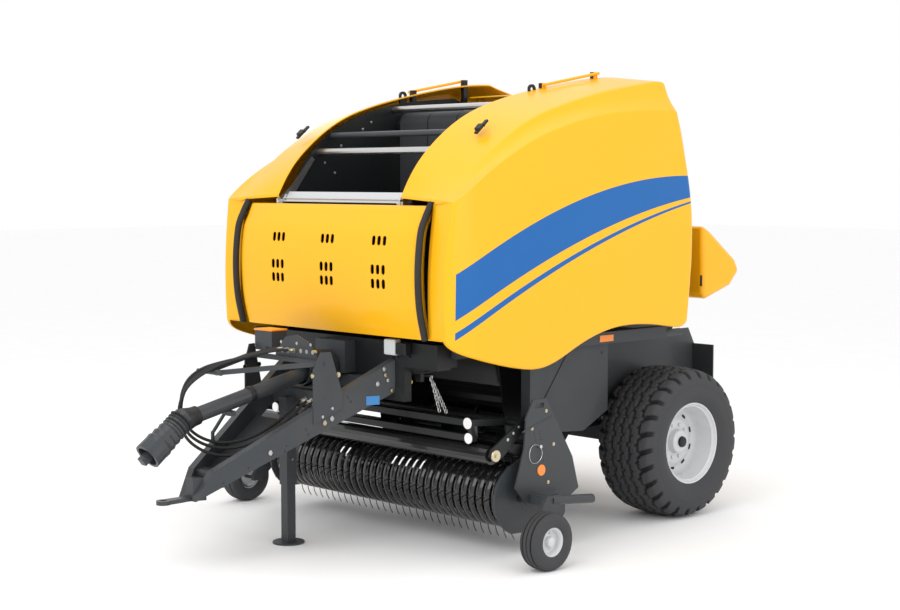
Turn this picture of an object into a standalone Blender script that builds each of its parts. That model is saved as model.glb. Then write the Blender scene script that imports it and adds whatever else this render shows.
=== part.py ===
"""A towed round baler with a belt chamber, a pick-up reel and an opening tailgate.

Frame: metres, +Z up, ground at Z = 0, -Y towards the tractor, +X to the machine's left.
The origin is on the ground under the middle of the machine's length and width.
"""

import math

import bmesh
import bpy
from mathutils import Matrix, Vector

# ---------------------------------------------------------------- clearances
GAP = 0.0003  # between solids that rest on each other
RUN = 0.0005  # round a pin that turns
PIN_SIDES = 12

# ---------------------------------------------------------------- running gear
AXLE_Y = 1.40
WHEEL_R = 0.53
TYRE_W = 0.50
TRACK_HALF = 0.95
RIM_R = 0.262
FLANGE_R = 0.285
SPINDLE_R = 0.035
AXLE_SIDE = 0.12
AXLE_HALF = 0.66
WHEEL_SIDES = 24

GAUGE_R = 0.18
GAUGE_W = 0.14
GAUGE_X = 1.53
GAUGE_Y = -0.49
GAUGE_RIM_R = 0.085
GAUGE_PIN_R = 0.012
GAUGE_SIDES = 20

# ---------------------------------------------------------------- chamber and frame
WALL_IN = 0.628  # inner face of the chamber walls
WALL_T = 0.012
WALL_OUT = WALL_IN + WALL_T
TAIL_OUT = 0.610  # outer face of the tailgate's side plates
TAIL_T = 0.012
BULK_Y = -0.78  # front face of the chamber walls
BEAM_FRONT = -0.84
BEAM_REAR = -0.72
BEAM_LOW = 1.20
BEAM_TOP = 1.36
BEAM_HALF = 0.93
RAIL_IN = 0.90
RAIL_W = 0.08
RAIL_LOW = 1.27
RAIL_TOP = 1.35
RAIL_REAR = 1.335
POST_LOW = 0.82
PIVOT = (0.75, 2.80)  # tailgate hinge, (Y, Z)
PIVOT_R = 0.030
EYE_Y = 0.297
EYE_Z = 2.985

# ---------------------------------------------------------------- covers
HOOD_HALF = 0.90
HOOD_T = 0.012
HOOD_DEPTH = 0.060
HOOD_TOP = (-0.893, 2.220)
HOOD_MID = (-0.985, 1.830)
HOOD_LOW = (-0.925, 1.402)
HOOD_HINGE = (-0.87, 2.235)
HOOD_PIN_R = 0.008
SEAL_OUT = 0.945

PANEL_X = 1.175  # outer face of the side panels
PANEL_T = 0.012
PANEL_IN_FRONT = 0.625  # inner edge beside the roof opening
PANEL_IN_REAR = 0.670  # inner edge behind the lifting eyes
PANEL_RETURN_X = 0.955  # inner edge of the narrow front wall
PANEL_BACK_X = 0.72  # inner edge of the rear wall
PANEL_LINE_X = 0.68  # hinge line of a side panel
PANEL_LINE = (0.60, 3.058)  # a point of it, (Y, Z)
PANEL_LINE_TILT = math.radians(10.4)
PANEL_ROD_R = 0.010

# ---------------------------------------------------------------- crop intake
REEL = (-0.32, 0.37)  # reel axis, (Y, Z)
BAND_R = 0.205
BAND_T = 0.005
BAND_W = 0.050
BAND_PITCH = 0.0688
BAND_COUNT = 33
TINE_TIP_R = 0.29
TINE_BAR_R = 0.15
TINE_ROWS = 4
TINE_T = 0.006
REEL_SHAFT_R = 0.030
END_IN = 1.135  # inner face of the pick-up's end plates
END_T = 0.012
HANDLE_IN = 1.215  # inner face of the adjuster plates
LIFT = (0.40, 0.78)  # pick-up pivot, (Y, Z)
LIFT_PIN_R = 0.030
ROTOR = (0.25, 0.60)
ROTOR_R = 0.20
ROTOR_SHAFT_R = 0.035
GUARD_PIVOT = (-0.22, 0.90)
GUARD_ROLLER = (-0.57, 0.67)
GUARD_ROLLER_R = 0.060
GUARD_ARM_IN = 1.155
GUARD_ARM_T = 0.015
GUARD_PIN_R = 0.015

# ---------------------------------------------------------------- drawbar and driveline
SPLAY = 0.363  # how far a drawbar beam spreads sideways for each metre of length
SPLAY_AT = (0.45, -1.00)  # (X, Y) of a point on the left beam's centre line
BEAM_T = 0.060
NOSE = ((-2.066, 0.429), (-1.964, 0.604))  # lower and upper front corners
TAIL = ((BEAM_FRONT - GAP, 1.035), (BEAM_FRONT - GAP, 1.244))
TONGUE_TIP_Y = -2.282
TONGUE_Z = (0.425, 0.450)
JACK_X = -0.16
JACK_Y = -1.16
JACK_SIDE = 0.080
JACK_WALL = 0.006
JACK_PLAY = 0.0005
JACK_TUBE_Z = (0.39, 0.88)
JACK_LEG_TOP = 0.62
FOOT_R = 0.105
FOOT_T = 0.012
PTO_HINGE = (-1.05, 1.155)
PTO_ELBOW = (-2.10, 0.920)
PTO_TIP = (-2.387, 0.700)
PTO_R = 0.048
PTO_PIN_R = 0.010
RACK_TIP = (-1.80, 1.165)

FINISHES = {
    "yellow": ((1.0, 0.55, 0.0), 0.25, 0.0),
    "frame_grey": ((0.05, 0.06, 0.065), 0.45, 0.0),
    "black": ((0.012, 0.013, 0.014), 0.35, 0.0),
    "tyre": ((0.02, 0.02, 0.022), 0.8, 0.0),
    "rubber": ((0.015, 0.015, 0.016), 0.6, 0.0),
    "rim": ((0.75, 0.76, 0.78), 0.35, 0.1),
    "silver": ((0.6, 0.6, 0.6), 0.35, 0.9),
    "tine": ((0.03, 0.03, 0.03), 0.4, 0.6),
}


def material(finish):
    """The Principled material of a finish, made once."""
    found = bpy.data.materials.get(finish)
    if found:
        return found
    colour, roughness, metallic = FINISHES[finish]
    made = bpy.data.materials.new(finish)
    made.use_nodes = True
    shader = made.node_tree.nodes["Principled BSDF"]
    shader.inputs["Base Color"].default_value = (*colour, 1.0)
    shader.inputs["Roughness"].default_value = roughness
    shader.inputs["Metallic"].default_value = metallic
    return made


# ---------------------------------------------------------------- shapes, in world metres
def loft(rings):
    """A closed body through rings of equal count, with a face over the first and the last."""
    body = bmesh.new()
    rows = [[body.verts.new(point) for point in ring] for ring in rings]
    for low, high in zip(rows, rows[1:]):
        for i in range(len(low)):
            j = (i + 1) % len(low)
            body.faces.new((low[i], low[j], high[j], high[i]))
    body.faces.new(rows[0])
    body.faces.new(rows[-1])
    bmesh.ops.recalc_face_normals(body, faces=body.faces)
    return body


def prism(outline, x0, x1):
    """A (Y, Z) outline carried along X."""
    return loft([[(x, y, z) for y, z in outline] for x in (x0, x1)])


def plan(outline, z0, z1):
    """An (X, Y) outline carried along Z."""
    return loft([[(x, y, z) for x, y in outline] for z in (z0, z1)])


def block(low, high):
    """A box between two corners."""
    corners = [(low[1], low[2]), (high[1], low[2]), (high[1], high[2]), (low[1], high[2])]
    return prism(corners, low[0], high[0])


def axes_of(direction):
    """Two unit vectors square to a direction, the first as near to +Z as it can be."""
    along = Vector(direction).normalized()
    near = Vector((0, 0, 1)) if abs(along.z) < 0.9 else Vector((0, 1, 0))
    side = along.cross(near).normalized()
    return along, side.cross(along).normalized(), side


def circle(centre, direction, radius, sides, phase=0.0):
    """The corners of a regular polygon round an axis."""
    _, up, side = axes_of(direction)
    angles = [phase + 2 * math.pi * i / sides for i in range(sides)]
    return [Vector(centre) + radius * (math.cos(a) * up + math.sin(a) * side) for a in angles]


def rod(start, end, radius, sides=PIN_SIDES, phase=0.0):
    """A straight round bar."""
    direction = Vector(end) - Vector(start)
    return loft([circle(at, direction, radius, sides, phase) for at in (start, end)])


def hole(start, end, radius):
    """The cutter of a hole that a rod of this radius turns in: its flats face the rod's corners."""
    grown = (radius + RUN) / math.cos(math.pi / PIN_SIDES)
    return rod(start, end, grown, PIN_SIDES, math.pi / PIN_SIDES)


def bar(start, end, wide, high):
    """A straight square bar: wide across, high in the upright plane through it."""
    along, up, side = axes_of(Vector(end) - Vector(start))
    corners = [(-wide / 2, -high / 2), (wide / 2, -high / 2), (wide / 2, high / 2), (-wide / 2, high / 2)]
    return loft([[Vector(at) + a * side + b * up for a, b in corners] for at in (start, end)])


def turned(centre, direction, profile, sides, phase=0.0):
    """A closed profile of (distance along the axis, radius) turned round the axis."""
    along = Vector(direction).normalized()
    body = bmesh.new()
    rings = []
    for distance, radius in profile:
        at = Vector(centre) + distance * along
        rings.append([body.verts.new(point) for point in circle(at, along, radius, sides, phase)])
    for low, high in zip(rings, rings[1:] + rings[:1]):
        for i in range(sides):
            j = (i + 1) % sides
            body.faces.new((low[i], low[j], high[j], high[i]))
    bmesh.ops.recalc_face_normals(body, faces=body.faces)
    return body


def ribbon(line, thick, x0, x1):
    """A sheet of one thickness that follows a (Y, Z) line, on the right of the line's direction."""
    shifted = []
    for i, (y, z) in enumerate(line):
        before = line[max(i - 1, 0)]
        after = line[min(i + 1, len(line) - 1)]
        along = Vector((after[0] - before[0], after[1] - before[1])).normalized()
        shifted.append((y + thick * along.y, z - thick * along.x))
    return prism(list(line) + shifted[::-1], x0, x1)


def arc(centre, radius, start, end, steps):
    """Points (Y, Z) of an arc, angles in degrees from +Y towards +Z."""
    angles = [math.radians(start + (end - start) * i / steps) for i in range(steps + 1)]
    return [(centre[0] + radius * math.cos(a), centre[1] + radius * math.sin(a)) for a in angles]


def spline(points, steps):
    """A smooth line through points, by the Catmull-Rom rule, with steps pieces between each two."""
    points = [Vector(point) for point in points]
    ends = [2 * points[0] - points[1]] + points + [2 * points[-1] - points[-2]]
    line = []
    for a, b, c, d in zip(ends, ends[1:], ends[2:], ends[3:]):
        for i in range(steps):
            t = i / steps
            line.append(
                0.5 * (2 * b + (c - a) * t + (2 * a - 5 * b + 4 * c - d) * t * t
                       + (3 * b - a - 3 * c + d) * t ** 3)
            )
    return line + [points[-1]]


def splayed(outline, inner, outer):
    """A (Y, Z) outline carried sideways between two offsets from the left beam's centre line."""
    return loft([[(beam_x(y) + offset, y, z) for y, z in outline] for offset in (inner, outer)])


def beam_x(y):
    """X of the left drawbar beam's centre line at a place along the machine."""
    return SPLAY_AT[0] + SPLAY * (y - SPLAY_AT[1])


def mirrored(body):
    """The same shape on the machine's other side."""
    twin = body.copy()
    bmesh.ops.scale(twin, vec=(-1, 1, 1), verts=twin.verts)
    bmesh.ops.recalc_face_normals(twin, faces=twin.faces)
    return twin


def both(shapes):
    """Shapes of the left side and their mirror images."""
    return list(shapes) + [mirrored(shape) for shape in shapes]


# ---------------------------------------------------------------- nodes
def place(name, body, holder, finish):
    """A mesh object whose origin is its holder's place."""
    bmesh.ops.translate(body, vec=-holder.location, verts=body.verts)
    mesh = bpy.data.meshes.new(name)
    body.to_mesh(mesh)
    body.free()
    mesh.shade_smooth()
    mesh.set_sharp_from_angle(angle=math.radians(35))
    made = bpy.data.objects.new(name, mesh)
    made.data.materials.append(material(finish))
    made.parent = holder
    return made


def operands(node, label, shapes, holder, operation):
    """Hidden helper shapes in one collection, and the Boolean that uses them all."""
    group = bpy.data.collections.new(f"{node.name}_{label}")
    bpy.context.scene.collection.children.link(group)
    for shape in shapes:
        helper = place(f"{node.name}_{label}", shape, holder, node.data.materials[0].name)
        helper.hide_render = True
        helper.display_type = "WIRE"
        group.objects.link(helper)
    cut = node.modifiers.new(label, "BOOLEAN")
    cut.operation = operation
    cut.operand_type = "COLLECTION"
    cut.collection = group
    cut.solver = "EXACT"


def node(name, finish, holder, shapes, cuts=(), left=True):
    """One piece of the baler: its first shape with the others joined to it and the cuts taken out."""
    shapes = list(shapes) if left else [mirrored(shape) for shape in shapes]
    cuts = list(cuts) if left else [mirrored(cut) for cut in cuts]
    made = place(name, shapes[0], holder, finish)
    bpy.context.scene.collection.objects.link(made)
    if shapes[1:]:
        operands(made, "join", shapes[1:], holder, "UNION")
    if cuts:
        operands(made, "cut", cuts, holder, "DIFFERENCE")
    return made


def body_at(name, place_at=(0.0, 0.0, 0.0)):
    """The empty that carries one moving body, at its joint."""
    empty = bpy.data.objects.new(name, None)
    empty.location = place_at
    bpy.context.scene.collection.objects.link(empty)
    return empty


# ---------------------------------------------------------------- wheels
def tyre_profile(width, outer, bead, shoulder):
    """A tyre's closed section, from the inner bead round the tread to the outer bead."""
    half = width / 2
    return [
        (-half * 0.80, bead),
        (-half * 0.97, bead + (outer - bead) * 0.30),
        (-half, bead + (outer - bead) * 0.55),
        (-half * 0.94, outer - shoulder),
        (-half * 0.80, outer - shoulder * 0.25),
        (-half * 0.40, outer),
        (half * 0.40, outer),
        (half * 0.80, outer - shoulder * 0.25),
        (half * 0.94, outer - shoulder),
        (half, bead + (outer - bead) * 0.55),
        (half * 0.97, bead + (outer - bead) * 0.30),
        (half * 0.80, bead),
    ]


def build_wheels():
    for side, name in ((1, "left"), (-1, "right")):
        centre = (side * TRACK_HALF, AXLE_Y, WHEEL_R)
        holder = body_at(f"wheel_{name}_axis", centre)
        outward = (side, 0, 0)
        bore = (SPINDLE_R + RUN) / math.cos(math.pi / WHEEL_SIDES)
        half = TYRE_W / 2
        tyre = turned(centre, outward, tyre_profile(TYRE_W, WHEEL_R, RIM_R + GAP, 0.075), WHEEL_SIDES)
        node(f"tyre_{name}", "tyre", holder, [tyre])
        seat = half * 0.80
        rim = turned(centre, outward, [
            (-0.100, bore), (-0.100, 0.075), (0.000, 0.085), (0.020, 0.110), (0.030, 0.175),
            (-0.010, 0.205), (-0.030, 0.225), (-seat, 0.243), (-seat - 0.014, FLANGE_R - 0.020),
            (-seat - 0.008, FLANGE_R - 0.020), (-seat - 0.001, RIM_R), (seat + 0.001, RIM_R),
            (seat + 0.008, FLANGE_R - 0.020), (seat + 0.018, FLANGE_R - 0.022),
            (seat + 0.012, 0.240), (0.120, 0.225), (0.048, 0.200), (0.050, 0.105),
            (0.075, 0.085), (0.085, 0.060), (0.085, bore),
        ], WHEEL_SIDES)
        node(f"rim_{name}", "rim", holder, [rim])


def build_gauge_wheels():
    for side, name in ((1, "left"), (-1, "right")):
        centre = (side * GAUGE_X, GAUGE_Y, GAUGE_R)
        holder = body_at(f"gauge_wheel_{name}_axis", centre)
        outward = (side, 0, 0)
        half = GAUGE_W / 2
        seat = half * 0.80
        bore = (GAUGE_PIN_R + RUN) / math.cos(math.pi / GAUGE_SIDES)
        tyre = turned(
            centre, outward, tyre_profile(GAUGE_W, GAUGE_R, GAUGE_RIM_R + GAP, 0.030), GAUGE_SIDES
        )
        node(f"gauge_tyre_{name}", "tyre", holder, [tyre])
        rim = turned(centre, outward, [
            (-0.045, bore), (-0.045, 0.024), (-0.010, 0.026), (0.000, 0.060), (-seat, 0.070),
            (-seat, GAUGE_RIM_R), (seat, GAUGE_RIM_R), (seat, 0.072), (0.012, 0.060),
            (0.008, 0.026), (0.040, 0.022), (0.040, bore),
        ], GAUGE_SIDES)
        node(f"gauge_rim_{name}", "rim", holder, [rim])


# ---------------------------------------------------------------- chassis
def wall_outline():
    """(Y, Z) outline of a chamber wall: roof edge, split line, throat, then the front."""
    roof = spline(
        [(-0.77, 2.30), (-0.53, 2.61), (-0.18, 2.815), (0.29, 2.935), (0.80, 2.985)], 3
    )
    return [tuple(p) for p in roof] + [
        (0.90, 2.95), (0.92, 2.65), (1.26, 0.80), (1.20, 0.66), (0.70, 0.62), (0.50, 0.40),
        (0.15, 0.40), (0.075, 0.62), (0.03, 0.95), (-0.02, 1.22), (BULK_Y, 1.22), (BULK_Y, 2.22),
    ]


def hinge_point(y):
    """The point of the left panel's hinge line at a place along the machine."""
    rise = math.tan(PANEL_LINE_TILT)
    return Vector((PANEL_LINE_X, y, PANEL_LINE[1] + rise * (y - PANEL_LINE[0])))


def build_walls(root):
    for left, name in ((True, "left"), (False, "right")):
        lugs = []
        for y in (0.40, 0.92):
            z = hinge_point(y).z
            lugs.append(block((WALL_IN + 0.002, y - 0.02, z - 0.20), (0.664, y + 0.02, z + 0.010)))
        shapes = [
            prism(wall_outline(), WALL_IN, WALL_OUT),
            rod((WALL_IN + 0.004, *PIVOT), (TAIL_OUT - TAIL_T - 0.006, *PIVOT), PIVOT_R),
            rod((WALL_OUT - 0.004, *LIFT), (0.712, *LIFT), LIFT_PIN_R),
            *lugs,
            rod(hinge_point(0.385), hinge_point(0.935), PANEL_ROD_R),
        ]
        lug_arms = [
            block((0.652, y - 0.02, hinge_point(y).z - 0.007), (0.682, y + 0.02, hinge_point(y).z + 0.007))
            for y in (0.40, 0.92)
        ]
        eye = prism(
            [(EYE_Y - 0.030, 2.80), (EYE_Y + 0.030, 2.80), (EYE_Y + 0.034, EYE_Z)]
            + arc((EYE_Y, EYE_Z), 0.036, 20, 160, 5) + [(EYE_Y - 0.034, EYE_Z)],
            WALL_OUT - 0.002, WALL_OUT + 0.012,
        )
        cuts = [
            hole((WALL_IN - 0.01, *ROTOR), (WALL_OUT + 0.01, *ROTOR), ROTOR_SHAFT_R),
            rod((WALL_OUT - 0.02, EYE_Y, EYE_Z), (WALL_OUT + 0.03, EYE_Y, EYE_Z), 0.018),
        ]
        node(f"side_wall_{name}", "black", root, shapes + lug_arms + [eye], cuts, left)


def build_frame(root):
    node("front_frame", "frame_grey", root, [
        block((-BEAM_HALF, BEAM_FRONT, BEAM_LOW), (BEAM_HALF, BEAM_REAR, BEAM_TOP)),
        block((-WALL_IN + GAP, BEAM_FRONT, 0.98), (WALL_IN - GAP, BULK_Y - GAP, BEAM_TOP - 0.02)),
    ], both([block((WALL_IN - 0.001, BULK_Y - 0.001, 1.0), (WALL_OUT + 0.001, BEAM_REAR + 0.01, 1.5))]))
    node("front_deck", "black", root, [
        ribbon([(BULK_Y + 0.001, 1.47), (0.12, 1.60)], 0.012, -WALL_IN + GAP, WALL_IN - GAP),
    ])
    node("roof_tube_front", "silver", root, [
        rod((-WALL_IN + GAP, -0.50, 2.575), (WALL_IN - GAP, -0.50, 2.575), 0.022),
    ])
    node("roof_tube_rear", "silver", root, [
        rod((-WALL_IN + GAP, -0.38, 2.690), (WALL_IN - GAP, -0.38, 2.690), 0.020),
    ])
    node("roof_tube_top", "silver", root, [
        rod((-WALL_IN + GAP, 0.20, 2.885), (WALL_IN - GAP, 0.20, 2.885), 0.024),
    ])
    node("belt_roller_top", "black", root, [
        rod((-WALL_IN + GAP, 0.30, 2.78), (WALL_IN - GAP, 0.30, 2.78), 0.075, 16),
    ])
    belt = arc((0.30, 2.78), 0.0760 + 0.008, 20, 180, 16) + [(0.2155, 2.55), (0.2155, 1.70)]
    node("front_belts", "rubber", root, [ribbon(belt[::-1], 0.008, -0.585, 0.585)])
    node("floor_roller", "black", root, [
        rod((-WALL_IN + GAP, 0.62, 0.80), (WALL_IN - GAP, 0.62, 0.80), 0.10, 16),
    ])
    floor = arc(ROTOR, ROTOR_R + 0.012, 215, 320, 7) + [(0.62, 0.64), (1.10, 0.68)]
    node("feeder_floor", "black", root, [ribbon(floor, 0.008, -WALL_IN + GAP, WALL_IN - GAP)])
    node("silver_tray", "silver", root, [
        ribbon([(-0.835, 2.262), (-0.66, 2.262), (-0.62, 2.24)], 0.006, -0.598, 0.598),
        block((-WALL_IN + GAP, -0.70, 2.235), (WALL_IN - GAP, -0.66, 2.258)),
    ])


def build_rails(root):
    for left, name in ((True, "left"), (False, "right")):
        outer = RAIL_IN + RAIL_W
        shapes = [
            block((RAIL_IN, BEAM_REAR + GAP, RAIL_LOW), (outer, RAIL_REAR, RAIL_TOP)),
            block((RAIL_IN, -0.06, POST_LOW), (outer, 0.04, RAIL_LOW + 0.01)),
        ]
        for y in (0.02, 0.60, 1.10):
            shapes.append(block((WALL_OUT + GAP, y, 1.28), (RAIL_IN + 0.01, y + 0.06, 1.34)))
        shapes.append(rod((0.94, RAIL_REAR - 0.01, 1.295), (0.94, RAIL_REAR + 0.20, 1.295), 0.028))
        node(f"side_rail_{name}", "frame_grey", root, shapes, (), left)
        shield = [(-0.02, 0.72), (0.55, 0.68), (0.80, 0.80), (0.80, 1.33), (-0.02, 1.33)]
        node(f"side_shield_{name}", "black", root, [
            prism(shield, RAIL_IN - GAP - 0.008, RAIL_IN - GAP),
        ], [block((0.8, y - GAP, 1.28 - GAP), (RAIL_IN + 0.01, y + 0.06 + GAP, 1.34 + GAP))
            for y in (0.02, 0.60)], left)
        fender = [
            (0.80, 0.76), (1.30, 0.78), (1.50, 0.70), (1.98, 0.86), (2.05, 0.95), (2.05, 1.16),
            (1.98, 1.28), (0.88, 1.28), (0.80, 1.20),
        ]
        inner = AXLE_HALF + GAP
        node(f"fender_{name}", "black", root, [
            prism(fender, inner, inner + 0.008),
            block((inner, 2.03, 0.90), (0.86, 2.04, 1.16)),
        ], [block((inner - 0.01, y - 0.004, 1.276), (inner + 0.02, y + 0.064, 1.344)) for y in (1.10,)],
             left)


def build_axle(root):
    half = AXLE_SIDE / 2
    bracket = [(0.90, 0.76), (0.98, 1.10), (1.14, 1.10), (1.47, 0.62), (1.47, 0.46), (1.30, 0.46)]
    reach = AXLE_HALF - 0.005
    shapes = [block((-reach, AXLE_Y - half, WHEEL_R - half), (reach, AXLE_Y + half, WHEEL_R + half))]
    shapes += both([
        prism(bracket, WALL_OUT + GAP, AXLE_HALF),
        rod((AXLE_HALF - 0.02, AXLE_Y, WHEEL_R), (TRACK_HALF + 0.10, AXLE_Y, WHEEL_R), SPINDLE_R,
            WHEEL_SIDES, math.pi / WHEEL_SIDES),
        rod((AXLE_HALF - 0.02, AXLE_Y, WHEEL_R), (TRACK_HALF - 0.102, AXLE_Y, WHEEL_R), 0.060, 16),
    ])
    node("axle_beam", "frame_grey", root, shapes)


def drawbar_outline():
    return [NOSE[0], TAIL[0], TAIL[1], NOSE[1]]


def line_z(pair, y):
    """Z of a straight line through two (Y, Z) points."""
    (y0, z0), (y1, z1) = pair
    return z0 + (z1 - z0) * (y - y0) / (y1 - y0)


def cross_member(y0, y1, low, high):
    """A block between the two beams."""
    reach = [beam_x(y0), beam_x(y1)]
    return plan([(-reach[0], y0), (reach[0], y0), (reach[1], y1), (-reach[1], y1)], low, high)


def cradle_shapes():
    """The rest under the drive shaft and its rod down to the right beam."""
    rest = pto_point(0.66)
    slope = math.atan2(PTO_HINGE[1] - PTO_ELBOW[1], PTO_HINGE[0] - PTO_ELBOW[0])
    low = rest.z - (PTO_R + GAP) / math.cos(slope)
    beam = line_z((NOSE[1], TAIL[1]), rest.y)
    away = beam_x(rest.y)
    foot = [(-0.05, -0.012), (0.05, -0.012), (0.05, 0.012), (-0.05, 0.012)]
    return [
        loft([[(x, rest.y + dy, low - deep + dy * math.tan(slope)) for x, dy in foot]
              for deep in (0.030, 0.0)]),
        bar((-0.045, rest.y, low - 0.018), (-away, rest.y, beam + 0.06), 0.016, 0.016),
        rod((-away, rest.y, beam - 0.02), (-away, rest.y, beam + 0.07), 0.012),
    ]


def build_drawbar(root):
    half = BEAM_T / 2
    low = (NOSE[0], TAIL[0])
    tray = [
        [(-beam_x(y), y, z + dz) for dz in (0.03, 0.036)] + [(beam_x(y), y, z + dz) for dz in (0.036, 0.03)]
        for y, z in ((y, line_z(low, y)) for y in (-1.90, -1.30))
    ]
    shapes = [splayed(drawbar_outline(), -half, half), mirrored(splayed(drawbar_outline(), -half, half))]
    shapes += [
        cross_member(-1.95, -1.86, 0.50, 0.60),
        cross_member(JACK_Y + JACK_SIDE / 2 + GAP, -1.04, 0.92, 1.02),
        cross_member(-0.90, TAIL[0][0], 1.04, 1.12),
        loft(tray),
    ] + cradle_shapes()
    node("drawbar_frame", "frame_grey", root, shapes)
    inset = half + GAP
    front, back = -2.05, -1.97
    core = [
        (-beam_x(front) + inset, front), (beam_x(front) - inset, front),
        (beam_x(back) - inset, back), (-beam_x(back) + inset, back),
    ]
    tongue = plan([(-0.036, -2.24), (0.036, -2.24), (0.030, back), (-0.030, back)], *TONGUE_Z)
    eye_y = TONGUE_TIP_Y + 0.045
    node("hitch_tongue", "frame_grey", root, [
        tongue,
        rod((0, eye_y, TONGUE_Z[0]), (0, eye_y, TONGUE_Z[1]), 0.045, 16),
        plan(core, TONGUE_Z[0], 0.56),
    ], [rod((0, eye_y, 0.4), (0, eye_y, 0.5), 0.020, 16)] + both([
        block((0.030, -2.10, 0.30), (0.2, -2.0661, TONGUE_Z[1] + 0.2)),
    ]))
    outer = JACK_SIDE / 2
    inner = outer - JACK_WALL
    node("jack_tube", "frame_grey", root, [
        block((JACK_X - outer, JACK_Y - outer, JACK_TUBE_Z[0]), (JACK_X + outer, JACK_Y + outer, 0.97)),
    ], [block((JACK_X - inner, JACK_Y - inner, 0.3), (JACK_X + inner, JACK_Y + inner, 1.1))])


def build_jack(root):
    holder = body_at("jack_slide", (JACK_X, JACK_Y, 0.0))
    half = JACK_SIDE / 2 - JACK_WALL - JACK_PLAY
    node("jack_leg", "frame_grey", holder, [
        block((JACK_X - half, JACK_Y - half, 0.006), (JACK_X + half, JACK_Y + half, JACK_LEG_TOP)),
        rod((JACK_X, JACK_Y, 0.0), (JACK_X, JACK_Y, FOOT_T), FOOT_R, 20),
    ])


def build_hose_rack(root):
    half = BEAM_T / 2
    outside = half + GAP
    upright = [(-1.36, 0.86), (-1.18, 0.95), (-1.18, 1.05), (-1.25, 1.31), (-1.31, 1.31), (-1.36, 1.20)]
    shapes = []
    for side in (1, -1):
        plate = splayed(upright, outside, outside + 0.008)
        shapes.append(plate if side > 0 else mirrored(plate))
    cross_x = beam_x(-1.28) + outside + 0.006
    shapes += [
        block((-cross_x, -1.30, 1.225), (cross_x, -1.27, 1.255)),
        bar((0.37, -1.29, 1.24), (-0.06, RACK_TIP[0], RACK_TIP[1] + 0.02), 0.030, 0.030),
        bar((-0.37, -1.29, 1.24), (-0.16, RACK_TIP[0], RACK_TIP[1] + 0.02), 0.030, 0.030),
        rod((-0.25, RACK_TIP[0], RACK_TIP[1] + 0.02), (0.0, RACK_TIP[0], RACK_TIP[1] + 0.02), 0.014),
        loft([[(x, y, z) for x, z in ((0.33, 1.23), (-0.12, 1.23), (-0.12, 1.27), (-0.02, 1.38),
                                      (0.10, 1.40), (0.22, 1.36))] for y in (-1.285, -1.277)]),
    ]
    node("hose_rack", "frame_grey", root, shapes)
    node("control_box", "black", root, [
        block((-0.36, -1.27 + GAP, 1.30), (-0.18, -1.15, 1.40)),
        block((-0.30, -1.27 + GAP, 1.23), (-0.24, -1.255, 1.31)),
    ])


def build_gearbox(root):
    y, z = PTO_HINGE
    back = BEAM_FRONT - GAP
    node("gearbox", "black", root, [
        block((-0.15, -0.93, 1.13), (0.15, back, 1.34)),
        turned((0, -1.18, z + 0.01), (0, 1, 0), [
            (0.0, 0.100), (0.0, 0.106), (0.12, 0.090), (0.255, 0.090), (0.255, 0.084), (0.125, 0.084),
        ], 16),
        rod((0, -0.92, z), (0, -1.00, z), 0.026),
        block((-0.012, y - 0.022, z - 0.022), (0.012, -0.99, z + 0.022)),
        rod((-0.040, y, z), (0.040, y, z), PTO_PIN_R),
    ])


def pto_point(share):
    """A point on the axis of the shaft's tube, from its hinge (0) to its front joint (1)."""
    y = PTO_HINGE[0] + share * (PTO_ELBOW[0] - PTO_HINGE[0])
    z = PTO_HINGE[1] + share * (PTO_ELBOW[1] - PTO_HINGE[1])
    return Vector((0, y, z))


def build_pto(root):
    holder = body_at("pto_hinge", (0, *PTO_HINGE))
    elbow, tip = pto_point(1), Vector((0, *PTO_TIP))
    line, nose = elbow - pto_point(0), tip - elbow
    length, reach = line.length, nose.length
    start, end = -0.045, reach - 0.13
    ribs = []
    for i in range(6):
        at = start + (end - start) * i / 6
        ribs += [(at, 0.060 + 0.004 * i), (at + 0.018, 0.074 + 0.003 * i)]
    tube = turned(pto_point(0), line, [(0.085, 0.012), (0.085, PTO_R), (length, PTO_R), (length, 0.012)], 16)
    guard = turned(elbow, nose, [(start, 0.012)] + ribs + [
        (end, 0.086), (reach - 0.05, 0.088), (reach - 0.05, 0.070), (reach - 0.10, 0.066),
        (reach - 0.10, 0.012),
    ], 16)
    ears = [
        block((x0, PTO_HINGE[0] - 0.10, PTO_HINGE[1] - 0.040), (x0 + 0.014, PTO_HINGE[0] + 0.018,
                                                              PTO_HINGE[1] + 0.018))
        for x0 in (0.016, -0.030)
    ]
    cores = [loft([circle(foot + way.normalized() * at, way, 0.026, 12) for at in span]) for foot, way, span in (
        (pto_point(0), line, (0.075, length + 0.012)), (elbow, nose, (-0.012, reach - 0.03)))]
    fork = bar(tip - nose.normalized() * 0.06, tip, 0.050, 0.050)
    pin_hole = [hole((-0.05, *PTO_HINGE), (0.05, *PTO_HINGE), PTO_PIN_R)]
    node("pto_shaft", "black", holder, [tube, guard, fork] + cores + ears, pin_hole)


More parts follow.
